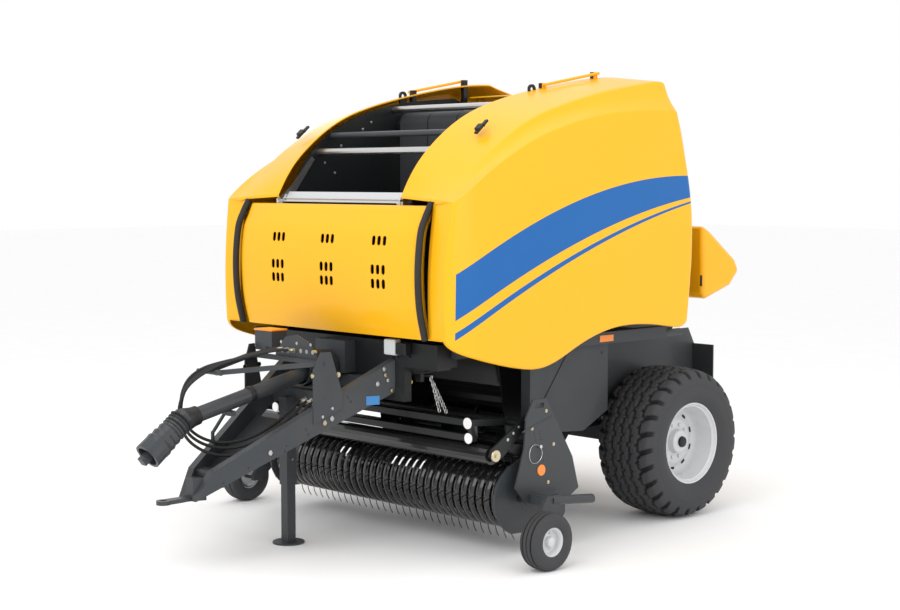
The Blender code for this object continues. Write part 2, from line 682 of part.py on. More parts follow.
# ---------------------------------------------------------------- covers
def panel_outline():
    """The left panel's edge (Y, Z), the crease inside it and how far its edge turns in along X."""
    top = spline([(-0.93, 2.215), (-0.71, 2.516), (-0.36, 2.78), (0.05, 2.925), (0.59, 3.04),
                  (1.08, 3.108), (1.30, 3.10)], 3)
    crease = spline([(-0.885, 2.19), (-0.63, 2.43), (-0.22, 2.63), (0.20, 2.75), (0.66, 2.83),
                     (1.08, 2.86), (1.20, 2.86)], 3)
    rows = [((-0.93, 1.352), (-0.90, 1.352), 0.03), ((-0.935, 1.80), (-0.90, 1.80), 0.03)]
    for i, (edge, inner) in enumerate(zip(top, crease)):
        share = i / (len(top) - 1)
        rows.append((tuple(edge), tuple(inner), 0.05 + 0.15 * min(1, 1.6 * share)))
    rear = spline([(1.42, 3.04), (1.51, 2.93), (1.583, 2.66), (1.660, 2.30), (1.696, 1.98),
                   (1.69, 1.70), (1.60, 1.44)], 2)
    rear_crease = spline([(1.215, 2.83), (1.235, 2.76), (1.27, 2.60), (1.33, 2.26), (1.36, 1.98),
                          (1.355, 1.70), (1.31, 1.44)], 2)
    for edge, inner in zip(rear, rear_crease):
        rows.append((tuple(edge), tuple(inner), 0.26))
    low = spline([(1.50, 1.390), (1.247, 1.353), (0.815, 1.407), (0.406, 1.373), (0.105, 1.26),
                  (-0.123, 1.165), (-0.532, 1.229), (-0.90, 1.335)], 2)
    rows.append((tuple(low[0]), (1.28, 1.386), 0.26))
    rows += [(tuple(p), tuple(p), 0.0) for p in low[1:]]
    return rows


def panel_shell(grow):
    """A closed body of the panel's outer shape, or of its hollow when grow is the wall's thickness."""
    rows = panel_outline()
    edge = [Vector(row[0]) for row in rows]
    if grow:
        shifted = []
        for i, at in enumerate(edge):
            along = (edge[(i + 1) % len(edge)] - edge[i - 1]).normalized()
            inward = Vector((along.y, -along.x))
            out = rows[i][2] == 0.0
            shifted.append(at - 0.05 * inward if out else at + grow * inward)
        edge = shifted
    rings = []
    start = PANEL_IN_FRONT - 0.10 if grow else PANEL_IN_FRONT
    rings.append([(start, p.x, p.y) for p in edge])
    for degrees in (0, 30, 60, 90):
        angle = math.radians(degrees)
        ring = []
        for at, (_, inner, reach) in zip(edge, rows):
            inner = Vector(inner)
            if reach == 0.0:
                inner = at
            move = 1 - math.cos(angle)
            spot = at + (inner - at) * move
            x = PANEL_X - grow - max(reach, 0.0) * (1 - math.sin(angle))
            ring.append((x, spot.x, spot.y))
        rings.append(ring)
    return loft(rings)


def build_panels():
    tilt = Vector((0, math.cos(PANEL_LINE_TILT), math.sin(PANEL_LINE_TILT)))
    for left, name in ((True, "left"), (False, "right")):
        side = 1 if left else -1
        holder = body_at(f"side_panel_{name}_hinge", (side * PANEL_LINE_X, *PANEL_LINE))
        rings = []
        for y in (0.55, 0.76):
            at = hinge_point(y)
            rings.append(rod(at - 0.02 * tilt, at + 0.02 * tilt, 0.026, 12))
        start, end = hinge_point(0.45), hinge_point(0.86)
        cuts = [
            panel_shell(PANEL_T),
            block((0.5, -1.2, 1.0), (PANEL_RETURN_X, -0.80, 2.275)),
            block((0.5, 1.42, 1.0), (PANEL_BACK_X, 1.9, 2.96)),
            plan([(0.5, 0.05), (PANEL_IN_REAR, 0.20), (PANEL_IN_REAR, 1.9), (0.5, 1.9)], 1.0, 3.3),
        ]
        made = node(f"side_panel_{name}", "yellow", holder, [panel_shell(0.0)], cuts, left)
        operands(made, "rings", rings if left else [mirrored(r) for r in rings], holder, "UNION")
        bore = hole(start, end, PANEL_ROD_R)
        operands(made, "bore", [bore if left else mirrored(bore)], holder, "DIFFERENCE")


def hood_line(inset):
    """The hood's front line (Y, Z) from top to bottom, moved back by an inset."""
    points = spline([HOOD_TOP, (-0.965, 2.05), HOOD_MID, (-0.972, 1.60), HOOD_LOW], 3)
    return [(y + inset, z) for y, z in points]


def build_hood():
    holder = body_at("hood_hinge", (0, *HOOD_HINGE))
    front = hood_line(0.0)
    back = [(y + HOOD_DEPTH, z) for y, z in (front[0], front[-1])]
    outer = prism(front + [back[1], back[0]], -HOOD_HALF, HOOD_HALF)
    hollow = [(y, z) for y, z in hood_line(HOOD_T)]
    hollow = [(hollow[0][0], hollow[0][1] - HOOD_T)] + hollow[1:-1] + [(hollow[-1][0], hollow[-1][1] + HOOD_T)]
    hollow += [(hollow[-1][0] + 0.1, hollow[-1][1]), (hollow[0][0] + 0.1, hollow[0][1])]
    ears = both([block((0.600, HOOD_HINGE[0] - 0.016, 2.19), (0.611, HOOD_HINGE[0] + 0.016, HOOD_HINGE[1] + 0.016))])
    made = node("front_hood", "yellow", holder, [outer], [
        prism(hollow, -HOOD_HALF + HOOD_T, HOOD_HALF - HOOD_T),
    ])
    operands(made, "ears", ears, holder, "UNION")
    operands(made, "bore", both([hole((0.59, *HOOD_HINGE), (0.62, *HOOD_HINGE), HOOD_PIN_R)]), holder,
             "DIFFERENCE")


def build_hood_struts(root):
    for left, name in ((True, "left"), (False, "right")):
        inner = 0.6157
        outline = [
            (HOOD_HINGE[0] - 0.006, 2.226), (HOOD_HINGE[0] + 0.015, 2.226), (-0.72, 2.30), (-0.55, 2.52),
            (-0.57, 2.54), (-0.75, 2.345), (-0.85, 2.262), (HOOD_HINGE[0] - 0.006, 2.256),
        ]
        node(f"hood_strut_{name}", "silver", root, [
            prism(outline, inner, WALL_IN - GAP),
            rod((0.596, *HOOD_HINGE), (inner + 0.004, *HOOD_HINGE), HOOD_PIN_R),
        ], (), left)


# ---------------------------------------------------------------- tailgate
def build_tailgate():
    holder = body_at("tailgate_hinge", (0, *PIVOT))
    outline = [
        (0.69, 2.84), (0.72, 2.875), (1.20, 2.88), (1.45, 2.74), (1.70, 2.45), (1.87, 2.10),
        (1.95, 1.75), (1.92, 1.40), (1.78, 1.10), (1.58, 0.86), (1.36, 0.77), (1.32, 0.80),
        (0.97, 2.60), (0.70, 2.745),
    ]
    shapes = both([prism(outline, TAIL_OUT - TAIL_T, TAIL_OUT)])
    inner = TAIL_OUT - TAIL_T + 0.002
    shapes += [rod((-inner, y, z), (inner, y, z), r, 14)
               for y, z, r in ((1.50, 0.98, 0.09), (1.15, 2.74, 0.07))]
    shapes.append(block((-0.838 + GAP, 1.915, 1.60), (0.838 - GAP, 1.965, 1.68)))
    cuts = [hole((-0.7, *PIVOT), (0.7, *PIVOT), PIVOT_R)]
    node("tailgate_frame", "frame_grey", holder, shapes, cuts)
    belts = arc((1.02, 1.78), 0.84, -58, 62, 12)
    node("rear_belts", "rubber", holder, [
        ribbon(belts, -0.008, -TAIL_OUT + TAIL_T + GAP, TAIL_OUT - TAIL_T - GAP),
    ])
    pod = [(1.90, 2.06), (2.00, 2.01), (2.31, 1.79), (2.365, 1.70), (2.25, 1.585), (1.97, 1.50)]
    hollow = [(1.80, 2.10), (1.90, 2.048), (1.993, 1.998), (2.302, 1.779), (2.35, 1.70), (2.246, 1.597),
              (1.965, 1.512), (1.80, 1.48)]
    node("tailgate_pod", "yellow", holder, [prism(pod, -0.85, 0.85)], [
        prism(hollow, -0.838, 0.838),
        block((-TAIL_OUT - 0.005, 1.85, 1.4), (TAIL_OUT + 0.005, 1.955, 2.2)),
    ])
    cover = spline([(0.93, 2.998), (1.10, 3.01), (1.30, 2.985), (1.44, 2.90), (1.60, 2.66)], 2)
    node("tailgate_cover", "yellow", holder, [
        ribbon([tuple(p) for p in cover], 0.008, -0.600, 0.600),
        *both([prism([(1.02, 3.00), (1.08, 3.00), (1.08, 2.872), (1.02, 2.872)], 0.585, 0.5975)]),
    ], [prism([(a[0], a[1]) for a in outline], TAIL_OUT - TAIL_T - GAP, TAIL_OUT + GAP),
        prism([(a[0], a[1]) for a in outline], -TAIL_OUT - GAP, -TAIL_OUT + TAIL_T + GAP)])


# ---------------------------------------------------------------- pick-up
def band_outline():
    """(Y, Z) outline of one stripper band: flat on top, round in front, flat below."""
    def half(radius, rear_top, rear_low):
        return [(rear_top, REEL[1] + radius)] + arc(REEL, radius, 90, 270, 5) + [
            (rear_low, REEL[1] - radius)
        ]
    return half(BAND_R, 0.0, -0.011) + half(BAND_R - BAND_T, 0.0, -0.011)[::-1]


def build_pickup():
    holder = body_at("pickup_pivot", (0, *LIFT))
    outline = band_outline()
    bands = []
    for i in range(BAND_COUNT):
        middle = (i - (BAND_COUNT - 1) / 2) * BAND_PITCH
        bands.append(prism(outline, middle - BAND_W / 2, middle + BAND_W / 2))
    reach = END_IN - GAP
    top, low = REEL[1] + BAND_R, REEL[1] - BAND_R
    beams = [
        block((-reach, -0.030, top - 0.034), (reach, -0.001, top - 0.002)),
        block((-reach, -0.050, low + 0.002), (reach, -0.010, low + 0.034)),
    ]
    node("pickup_bands", "black", holder, beams[:1] + bands + beams[1:] + [
        block((-0.60, -0.0204, low + 0.010), (-0.58, -0.002, top - 0.010)),
        block((0.58, -0.0204, low + 0.010), (0.60, -0.002, top - 0.010)),
    ])
    arm = [(0.0, 0.17), (0.06, 0.17), (0.44, 0.74), (0.44, 0.82), (0.36, 0.82), (0.34, 0.72), (0.0, 0.23)]
    node("pickup_frame", "frame_grey", holder, [
        block((-reach, 0.0, 0.170), (reach, 0.060, 0.230)),
        *both([prism(arm, 0.66, 0.70)]),
    ], [hole((-0.8, *LIFT), (0.8, *LIFT), LIFT_PIN_R)])
    for left, name in ((True, "left"), (False, "right")):
        outer = END_IN + END_T
        end_plate = arc(REEL, 0.235, 120, 250, 8) + [
            (-0.20, 0.14), (0.04, 0.14), (0.10, 0.22), (0.10, 0.56), (0.02, 0.66), (-0.22, 0.66),
        ]
        handle = [
            (-0.45, 0.455), (-0.34, 0.335), (0.03, 0.33), (0.14, 0.39), (0.08, 0.60), (-0.08, 0.86),
            (-0.17, 1.00), (-0.29, 1.00), (-0.35, 0.90), (-0.37, 0.70),
        ]
        shapes = [
            prism(end_plate, END_IN, outer),
            prism(handle, HANDLE_IN, HANDLE_IN + END_T),
            rod((outer - 0.004, -0.05, 0.52), (HANDLE_IN + 0.004, -0.05, 0.52), 0.03),
            rod((outer - 0.004, -0.20, 0.40), (HANDLE_IN + 0.004, -0.20, 0.40), 0.03),
            rod((GUARD_ARM_IN - 0.005, *GUARD_PIVOT), (HANDLE_IN + 0.004, *GUARD_PIVOT), GUARD_PIN_R),
            block((HANDLE_IN + 0.004, -0.32, 0.345), (1.40, -0.26, 0.405)),
            rod((1.40, -0.31, 0.390), (1.40, 0.075, 0.350), 0.030),
            prism([(-0.36, 0.42), (-0.24, 0.42), (-0.24, 0.34), (-0.45, 0.165), (-0.52, 0.165),
                   (-0.52, 0.205)], 1.39, 1.42),
            rod((1.41, GAUGE_Y, GAUGE_R), (GAUGE_X + 0.045, GAUGE_Y, GAUGE_R), GAUGE_PIN_R,
                GAUGE_SIDES, math.pi / GAUGE_SIDES),
        ]
        slot = [block((HANDLE_IN - 0.02, -0.27, 0.945), (HANDLE_IN + 0.05, -0.19, 0.975))]
        node(f"pickup_side_{name}", "frame_grey", holder, shapes, slot + [
            hole((END_IN - 0.01, *REEL), (outer + 0.02, *REEL), REEL_SHAFT_R),
        ], left)


def build_reel():
    holder = body_at("reel_axis", (0, *REEL))
    reach = END_IN + END_T + 0.006
    shapes = [rod((-reach, *REEL), (reach, *REEL), REEL_SHAFT_R)]
    for x in (-1.11, -0.38, 0.38, 1.11):
        shapes.append(rod((x - 0.006, *REEL), (x + 0.006, *REEL), TINE_BAR_R + 0.018, 12))
    span = (BAND_COUNT - 1) / 2 * BAND_PITCH
    for row in range(TINE_ROWS):
        angle = -math.pi / 2 + row * 2 * math.pi / TINE_ROWS
        out = Vector((math.cos(angle), math.sin(angle)))
        bar_at = Vector(REEL) + TINE_BAR_R * out
        shapes.append(rod((-1.11, *bar_at), (1.11, *bar_at), 0.012, 6))
        tip = Vector(REEL) + TINE_TIP_R * out
        for i in range(BAND_COUNT - 1):
            x = -span + (i + 0.5) * BAND_PITCH
            shapes.append(rod((x, *bar_at), (x, *tip), TINE_T / 2, 3))
    node("pickup_reel", "tine", holder, shapes)


def build_rotor():
    holder = body_at("rotor_axis", (0, *ROTOR))
    reach = WALL_OUT - 0.001
    shapes = [rod((-reach, *ROTOR), (reach, *ROTOR), ROTOR_SHAFT_R)]
    shapes.append(rod((-0.615, *ROTOR), (0.615, *ROTOR), 0.085, 12))
    for i in range(9):
        x = (i - 4) * 0.14
        turn = math.radians(40 * i)
        star = []
        for k in range(3):
            angle = turn + k * 2 * math.pi / 3
            star += [(ROTOR[0] + r * math.cos(angle + d), ROTOR[1] + r * math.sin(angle + d))
                     for r, d in ((0.07, -0.5), (ROTOR_R, -0.06), (ROTOR_R, 0.02), (0.09, 0.4))]
        shapes.append(prism(star, x - 0.006, x + 0.006))
    node("feed_rotor", "black", holder, shapes)


def build_windguard():
    holder = body_at("windguard_pivot", (0, *GUARD_PIVOT))
    inner, outer = GUARD_ARM_IN, GUARD_ARM_IN + GUARD_ARM_T
    arm = [
        (-0.20, 0.935), (-0.245, 0.935), (-0.42, 0.82), (-0.60, 0.715), (-0.62, 0.67), (-0.57, 0.625),
        (-0.50, 0.655), (-0.36, 0.76), (-0.19, 0.865),
    ]
    shapes = [rod((-outer + 0.004, -0.30, 0.840), (outer - 0.004, -0.30, 0.840), 0.024)]
    shapes += both([
        prism(arm, inner, outer),
        bar((1.0, -0.30, 0.84), (1.0, -0.625, 0.865), 0.04, 0.04),
        bar((1.0, -0.625, 0.885), (1.0, -0.60, 0.755), 0.03, 0.03),
    ])
    shapes += [
        block((-1.02, -0.645, 0.845), (1.02, -0.605, 0.885)),
        block((-1.02, -0.622, 0.745), (1.02, -0.582, 0.785)),
    ]
    node("windguard_frame", "frame_grey", holder, shapes, [
        hole((-1.3, *GUARD_PIVOT), (1.3, *GUARD_PIVOT), GUARD_PIN_R),
        hole((-1.3, *GUARD_ROLLER), (1.3, *GUARD_ROLLER), 0.014),
    ])
    roller_holder = body_at("windguard_roller_axis", (0, *GUARD_ROLLER))
    node("windguard_roller", "black", roller_holder, [
        rod((-1.14, *GUARD_ROLLER), (1.14, *GUARD_ROLLER), GUARD_ROLLER_R, 16),
        rod((-outer, *GUARD_ROLLER), (outer, *GUARD_ROLLER), 0.014),
    ])
    plate = [(-0.49, 0.745), (-0.35, 0.715), (-0.12, 0.70)]
    node("crop_deflector", "black", holder, [
        ribbon(plate, 0.006, -1.10, 1.10),
        *both([prism([(-0.33, 0.708), (-0.27, 0.706), (-0.28, 0.83), (-0.32, 0.83)], 0.70, 0.71)]),
    ], [rod((-1.2, -0.30, 0.840), (1.2, -0.30, 0.840), 0.0245)])


HOSE_R = 0.010
HOSE_ROUTES = (
    [(0.02, -1.2856, 1.300), (0.02, -1.32, 1.300), (-0.01, -1.40, 1.302), (-0.07, -1.58, 1.267),
     (-0.12, -1.80, 1.213), (-0.14, -1.95, 1.120), (-0.15, -2.00, 0.970), (-0.14, -1.96, 0.820),
     (-0.10, -1.84, 0.730), (-0.04, -1.68, 0.705), (0.03, -1.52, 0.752), (0.05, -1.30, 0.868),
     (0.05, -1.19, 0.950), (0.05, -1.1203, 0.965)],
    [(0.08, -1.2856, 1.300), (0.08, -1.32, 1.300), (0.05, -1.40, 1.307), (-0.03, -1.58, 1.272),
     (-0.085, -1.80, 1.213), (-0.105, -1.98, 1.110), (-0.115, -2.04, 0.950), (-0.105, -1.99, 0.790),
     (-0.06, -1.86, 0.690), (0.00, -1.70, 0.668), (0.08, -1.54, 0.742), (0.11, -1.30, 0.868),
     (0.11, -1.19, 0.950), (0.11, -1.1203, 0.965)],
    [(-0.04, -1.2856, 1.300), (-0.04, -1.32, 1.300), (-0.08, -1.40, 1.297), (-0.12, -1.58, 1.255),
     (-0.165, -1.80, 1.213), (-0.185, -1.93, 1.130), (-0.195, -1.97, 0.990), (-0.185, -1.93, 0.850),
     (-0.15, -1.82, 0.760), (-0.09, -1.68, 0.732), (-0.02, -1.52, 0.770), (-0.01, -1.30, 0.870),
     (-0.01, -1.19, 0.950), (-0.01, -1.1203, 0.965)],
)


def smooth_ends(points):
    """The same points with each end's run square to the face that the hose meets."""
    for end, near in ((0, 1), (-1, -2)):
        points[near] = Vector((points[end].x, points[near].y, points[end].z))
    return points


def build_hoses():
    for number, route in enumerate(HOSE_ROUTES, 1):
        points = smooth_ends(spline(route, 2))
        curve = bpy.data.curves.new(f"hose_{number}", "CURVE")
        curve.dimensions = "3D"
        curve.bevel_depth = HOSE_R
        curve.bevel_resolution = 2
        curve.use_fill_caps = True
        line = curve.splines.new("POLY")
        line.points.add(len(points) - 1)
        for spot, point in zip(line.points, points):
            spot.co = (*point, 1.0)
        made = bpy.data.objects.new(f"hose_{number}", curve)
        curve.materials.append(material("rubber"))
        bpy.context.scene.collection.objects.link(made)


def main():
    for old in list(bpy.data.objects):
        bpy.data.objects.remove(old)
    root = body_at("chassis")
    build_walls(root)
    build_frame(root)
    build_rails(root)
    build_axle(root)
    build_drawbar(root)
    build_jack(root)
    build_hose_rack(root)
    build_gearbox(root)
    build_pto(root)
    build_hood_struts(root)
    build_hoses()
    build_wheels()
    build_panels()
    build_hood()
    build_tailgate()
    build_pickup()
    build_reel()
    build_rotor()
    build_windguard()
    build_gauge_wheels()


main()
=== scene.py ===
"""Round baler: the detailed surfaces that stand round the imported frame.

Every shape is (points, faces): points an array (n, 3) in metres, faces a list of whole-number arrays, one for
each number of corners. +Z is up, -Y is towards the tractor and +X is the machine's left.
"""
import math

import bmesh
import bpy
import numpy as np
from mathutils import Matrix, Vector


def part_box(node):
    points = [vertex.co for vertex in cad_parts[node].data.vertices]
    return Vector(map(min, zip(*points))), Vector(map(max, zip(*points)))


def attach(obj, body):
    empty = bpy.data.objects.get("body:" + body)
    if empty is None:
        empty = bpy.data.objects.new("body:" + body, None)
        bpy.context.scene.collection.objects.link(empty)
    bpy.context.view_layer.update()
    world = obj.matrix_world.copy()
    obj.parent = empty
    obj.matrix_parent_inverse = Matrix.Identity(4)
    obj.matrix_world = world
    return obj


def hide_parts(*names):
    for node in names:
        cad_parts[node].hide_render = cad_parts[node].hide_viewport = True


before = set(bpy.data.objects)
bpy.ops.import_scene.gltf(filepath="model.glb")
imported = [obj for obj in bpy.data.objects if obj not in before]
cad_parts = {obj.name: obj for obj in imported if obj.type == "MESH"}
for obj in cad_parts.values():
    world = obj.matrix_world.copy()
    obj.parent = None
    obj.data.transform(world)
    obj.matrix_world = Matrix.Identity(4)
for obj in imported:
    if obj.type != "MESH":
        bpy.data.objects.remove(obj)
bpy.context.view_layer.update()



def middle(node):
    """The middle of a node's box, to the millimetre. A wheel on the floor has its radius as its height."""
    return [round((a + b) / 2, 3) for a, b in zip(*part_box(node))]


WHEEL_X, WHEEL_Y, WHEEL_R = middle("tyre_left")
GAUGE_X, GAUGE_Y, GAUGE_R = middle("gauge_tyre_left")
REEL_Y, REEL_Z, REEL_HALF, REEL_BAR_CIRCLE = -0.32, 0.37, 1.11, 0.15
REEL_BARS = np.radians((-90, 0, 90, 180))
PANEL_X, BULGE, NOSE_IN = 1.165, 0.030, 0.055
BOTH = (1, -1)
SIDE = {1: "left", -1: "right"}


# ---------------------------------------------------------------- camera, light and floor

def aim(name, data, place, turn):
    obj = bpy.data.objects.new(name, data)
    obj.location, obj.rotation_euler = place, turn
    bpy.context.scene.collection.objects.link(obj)
    return obj


camera = bpy.data.cameras.new("camera")
camera.lens, camera.sensor_width = 65.97, 36.0
bpy.context.scene.camera = aim("camera", camera, (8.323, -7.781, 2.395),
                               (math.radians(90 - 4.41), 0, math.radians(46.36)))
for name, watts, size, place, turn in (
        ("key", 190, 5.0, (2.2, -6.5, 5.6), (52, 0, 18)),
        ("side", 95, 5.0, (7.5, 1.0, 3.6), (68, 0, 98)),
        ("top", 60, 6.0, (0.0, 0.5, 7.0), (0, 0, 0)),
        ("back", 35, 4.0, (-5.0, 4.0, 4.0), (60, 0, 230))):
    light = bpy.data.lights.new(name, "AREA")
    light.energy, light.size = watts, size
    aim(name, light, place, tuple(math.radians(a) for a in turn))
world = bpy.data.worlds.new("studio")
world.use_nodes = True
world.node_tree.nodes["Background"].inputs["Color"].default_value = (1, 1, 1, 1)
world.node_tree.nodes["Background"].inputs["Strength"].default_value = 1.0
bpy.context.scene.world = world
bpy.context.scene.view_settings.view_transform = "Standard"


# ---------------------------------------------------------------- shapes

def smooth_path(points, per=8):
    """Catmull-Rom: each span is a cubic through its ends, with tangents half of their neighbours' chord."""
    p = np.asarray(points, float)
    ends = np.concatenate([2 * p[:1] - p[1:2], p, 2 * p[-1:] - p[-2:-1]])
    t = np.linspace(0, 1, per, endpoint=False)[:, None, None]
    a, b, c, d = ends[:-3], ends[1:-2], ends[2:-1], ends[3:]
    q = 0.5 * (2 * b + (c - a) * t + (2 * a - 5 * b + 4 * c - d) * t ** 2 + (3 * b - a - 3 * c + d) * t ** 3)
    return np.concatenate([q.transpose(1, 0, 2).reshape(-1, p.shape[1]), p[-1:]])


def along(points, shares, per=24):
    """The points at these shares of the length of the smooth line through the given points."""
    line = smooth_path(points, per)
    way = np.concatenate([[0], np.cumsum(np.linalg.norm(np.diff(line, axis=0), axis=1))])
    at = np.asarray(shares) * way[-1]
    return np.stack([np.interp(at, way, line[:, k]) for k in range(line.shape[1])], axis=1)


def sheet(grid, loop_u=False, loop_v=False):
    """A grid of points (u, v, 3) as four-sided faces, joined to its start where it loops."""
    u, v = grid.shape[:2]
    i, j = np.meshgrid(np.arange(u if loop_u else u - 1), np.arange(v if loop_v else v - 1), indexing="ij")
    a, b = (i + 1) % u, (j + 1) % v
    faces = np.stack([i * v + j, a * v + j, a * v + b, i * v + b], axis=-1).reshape(-1, 4)
    return grid.reshape(-1, 3), [faces]


def join(*shapes):
    """Many shapes as one: each one's face numbers move on by the points before it."""
    points, groups, count = [], {}, 0
    for p, faces in shapes:
        for f in faces:
            groups.setdefault(f.shape[1], []).append(f + count)
        points.append(p)
        count += len(p)
    return np.concatenate(points), [np.concatenate(g) for g in groups.values()]


def capped(shape, rings, sides):
    """A looped sheet of rings, closed with one flat face at each end."""
    first = np.arange(sides)[None, :]
    return shape[0], shape[1] + [first[:, ::-1], first + (rings - 1) * sides]


def box(x0, x1, y0, y1, z0, z1):
    """The block between two corners."""
    p = np.array([[x, y, z] for x in (x0, x1) for y in (y0, y1) for z in (z0, z1)], float)
    return p, [np.array([[0, 1, 3, 2], [4, 6, 7, 5], [0, 4, 5, 1], [2, 3, 7, 6], [0, 2, 6, 4], [1, 5, 7, 3]])]


def prism(outline, low, high, axis=0):
    """A flat outline carried from low to high along an axis; its numbers are the other two axes, in order."""
    o = np.asarray(outline, float)
    rest = [k for k in range(3) if k != axis]
    grid = np.zeros((2, len(o), 3))
    grid[:, :, rest[0]], grid[:, :, rest[1]] = o[:, 0], o[:, 1]
    grid[0, :, axis], grid[1, :, axis] = low, high
    return capped(sheet(grid, loop_v=True), 2, len(o))


def tube(path, radius, sides=12, flat=1.0, refer=None):
    """A round or flattened section carried along a path, square to it, turned by one fixed axis."""
    p = np.asarray(path, float)
    t = np.gradient(p, axis=0)
    t /= np.linalg.norm(t, axis=1)[:, None]
    if refer is None:
        refer = np.eye(3)[np.argmin(np.abs(t).max(axis=0))]
    n = np.cross(t, refer)
    n /= np.linalg.norm(n, axis=1)[:, None]
    b = np.cross(t, n)
    a = np.linspace(0, 2 * math.pi, sides, endpoint=False)
    r = np.broadcast_to(np.asarray(radius, float), len(p))[:, None, None]
    ring = n[:, None] * np.cos(a)[None, :, None] + flat * b[:, None] * np.sin(a)[None, :, None]
    return capped(sheet(p[:, None] + r * ring, loop_v=True), len(p), sides)


def rod(a, b, radius, sides=12):
    """A straight round bar from a to b."""
    return tube(np.linspace(a, b, 2), radius, sides)


def spun(profile, axis, centre, turns=48):
    """A profile of (radius, distance along the axis) turned right round an axis through a centre."""
    p = np.asarray(profile, float)
    a = np.linspace(0, 2 * math.pi, turns, endpoint=False)
    e = np.eye(3)
    along_, side, up = e[axis], e[(axis + 1) % 3], e[(axis + 2) % 3]
    ring = side * np.cos(a)[:, None] + up * np.sin(a)[:, None]
    grid = p[:, None, :1] * ring[None] + p[:, None, 1:] * along_ + np.asarray(centre, float)
    return sheet(grid, loop_v=True)


def turned(shape, matrix, by=(0, 0, 0)):
    """A shape turned by a 3 x 3 matrix and then moved."""
    return shape[0] @ np.asarray(matrix, float).T + np.asarray(by, float), shape[1]


def repeated(shape, places):
    """One copy of a shape at each place."""
    places = np.asarray(places, float)
    step = np.arange(len(places)) * len(shape[0])
    faces = [(f[None] + step[:, None, None]).reshape(-1, f.shape[1]) for f in shape[1]]
    return (shape[0][None] + places[:, None]).reshape(-1, 3), faces


def mirrored(shape):
    """The other side's shape: x changes its sign, and the faces run the other way round."""
    return shape[0] * (-1, 1, 1), [f[:, ::-1] for f in shape[1]]


def sided(shape, s):
    """The left side's shape for 1, and its mirror image for -1."""
    return shape if s > 0 else mirrored(shape)


def bolt(place, axis, radius=0.010, out=1):
    """A washer and a six-sided head, standing out along an axis."""
    high = radius * 0.75 * out
    washer = spun([(0, 0), (radius * 1.5, 0), (radius * 1.5, 0.15 * high), (0, 0.15 * high)], axis, place, 14)
    head = spun([(0, 0), (radius, 0), (radius, 0.85 * high), (radius * 0.85, high), (0, high)], axis, place,
                6)
    return join(washer, head)


# ---------------------------------------------------------------- finishes

def finish(name, colour, rough, metal=0.0, coat=0.0, grain=60.0, fleck=0.06, bump=0.05, depth=0.001,
           soil=0.0, soil_colour=(0.25, 0.22, 0.18)):
    """A shader with a fine grain in its colour and bump, a broad drift in its gloss and patches of dust."""
    mat = bpy.data.materials.new(name)
    mat.use_nodes = True
    nodes, links = mat.node_tree.nodes, mat.node_tree.links
    shader = nodes["Principled BSDF"]
    shader.inputs["Metallic"].default_value = metal
    shader.inputs["Coat Weight"].default_value = coat
    shader.inputs["Coat Roughness"].default_value = 0.06
    shader.inputs["Specular IOR Level"].default_value = 0.32
    where = nodes.new("ShaderNodeTexCoord")

    def noise(scale, detail):
        n = nodes.new("ShaderNodeTexNoise")
        n.inputs["Scale"].default_value, n.inputs["Detail"].default_value = scale, detail
        links.new(where.outputs["Object"], n.inputs["Vector"])
        return n.outputs["Fac"]

    fine, broad = noise(grain, 5), noise(2.2, 3)
    ramp = nodes.new("ShaderNodeValToRGB")
    for stop, share in zip(ramp.color_ramp.elements, (1 - fleck, 1 + fleck)):
        stop.color = tuple(min(1.0, c * share) for c in colour) + (1,)
    ramp.color_ramp.elements[0].position, ramp.color_ramp.elements[1].position = 0.3, 0.7
    links.new(fine, ramp.inputs["Fac"])
    links.new(ramp.outputs["Color"], shader.inputs["Base Color"])
    if soil:
        span = nodes.new("ShaderNodeMapRange")
        span.inputs["From Min"].default_value, span.inputs["From Max"].default_value = 0.5, 0.8
        span.inputs["To Max"].default_value = soil
        links.new(broad, span.inputs["Value"])
        mixed_over(mat, span.outputs["Result"], soil_colour)
    gloss = nodes.new("ShaderNodeMapRange")
    gloss.inputs["To Min"].default_value = rough * 0.85
    gloss.inputs["To Max"].default_value = min(1, rough * 1.2)
    links.new(broad, gloss.inputs["Value"])
    links.new(gloss.outputs["Result"], shader.inputs["Roughness"])
    raised = nodes.new("ShaderNodeBump")
    raised.inputs["Strength"].default_value, raised.inputs["Distance"].default_value = bump, depth
    links.new(fine, raised.inputs["Height"])
    links.new(raised.outputs["Normal"], shader.inputs["Normal"])
    return mat


def mixed_over(mat, share, colour):
    """Mixes a colour over what a finish has, by a share from another node."""
    nodes, links = mat.node_tree.nodes, mat.node_tree.links
    base = nodes["Principled BSDF"].inputs["Base Color"]
    before = base.links[0].from_socket
    mix = nodes.new("ShaderNodeMix")
    mix.data_type = "RGBA"
    mix.inputs[7].default_value = tuple(colour) + (1,)
    links.new(share, mix.inputs[0])
    links.new(before, mix.inputs[6])
    links.new(mix.outputs[2], base)


def parts_of_place(mat):
    """The x, y and z of a point on the piece, as node outputs."""
    nodes, links = mat.node_tree.nodes, mat.node_tree.links
    where = nodes.new("ShaderNodeTexCoord")
    part = nodes.new("ShaderNodeSeparateXYZ")
    links.new(where.outputs["Object"], part.inputs[0])
    return part.outputs


def math_node(nodes, links, operation, a, b):
    node = nodes.new("ShaderNodeMath")
    node.operation = operation
    for socket, value in zip(node.inputs, (a, b)):
        if isinstance(value, (int, float)):
            socket.default_value = value
        else:
            links.new(value, socket)
    return node.outputs[0]


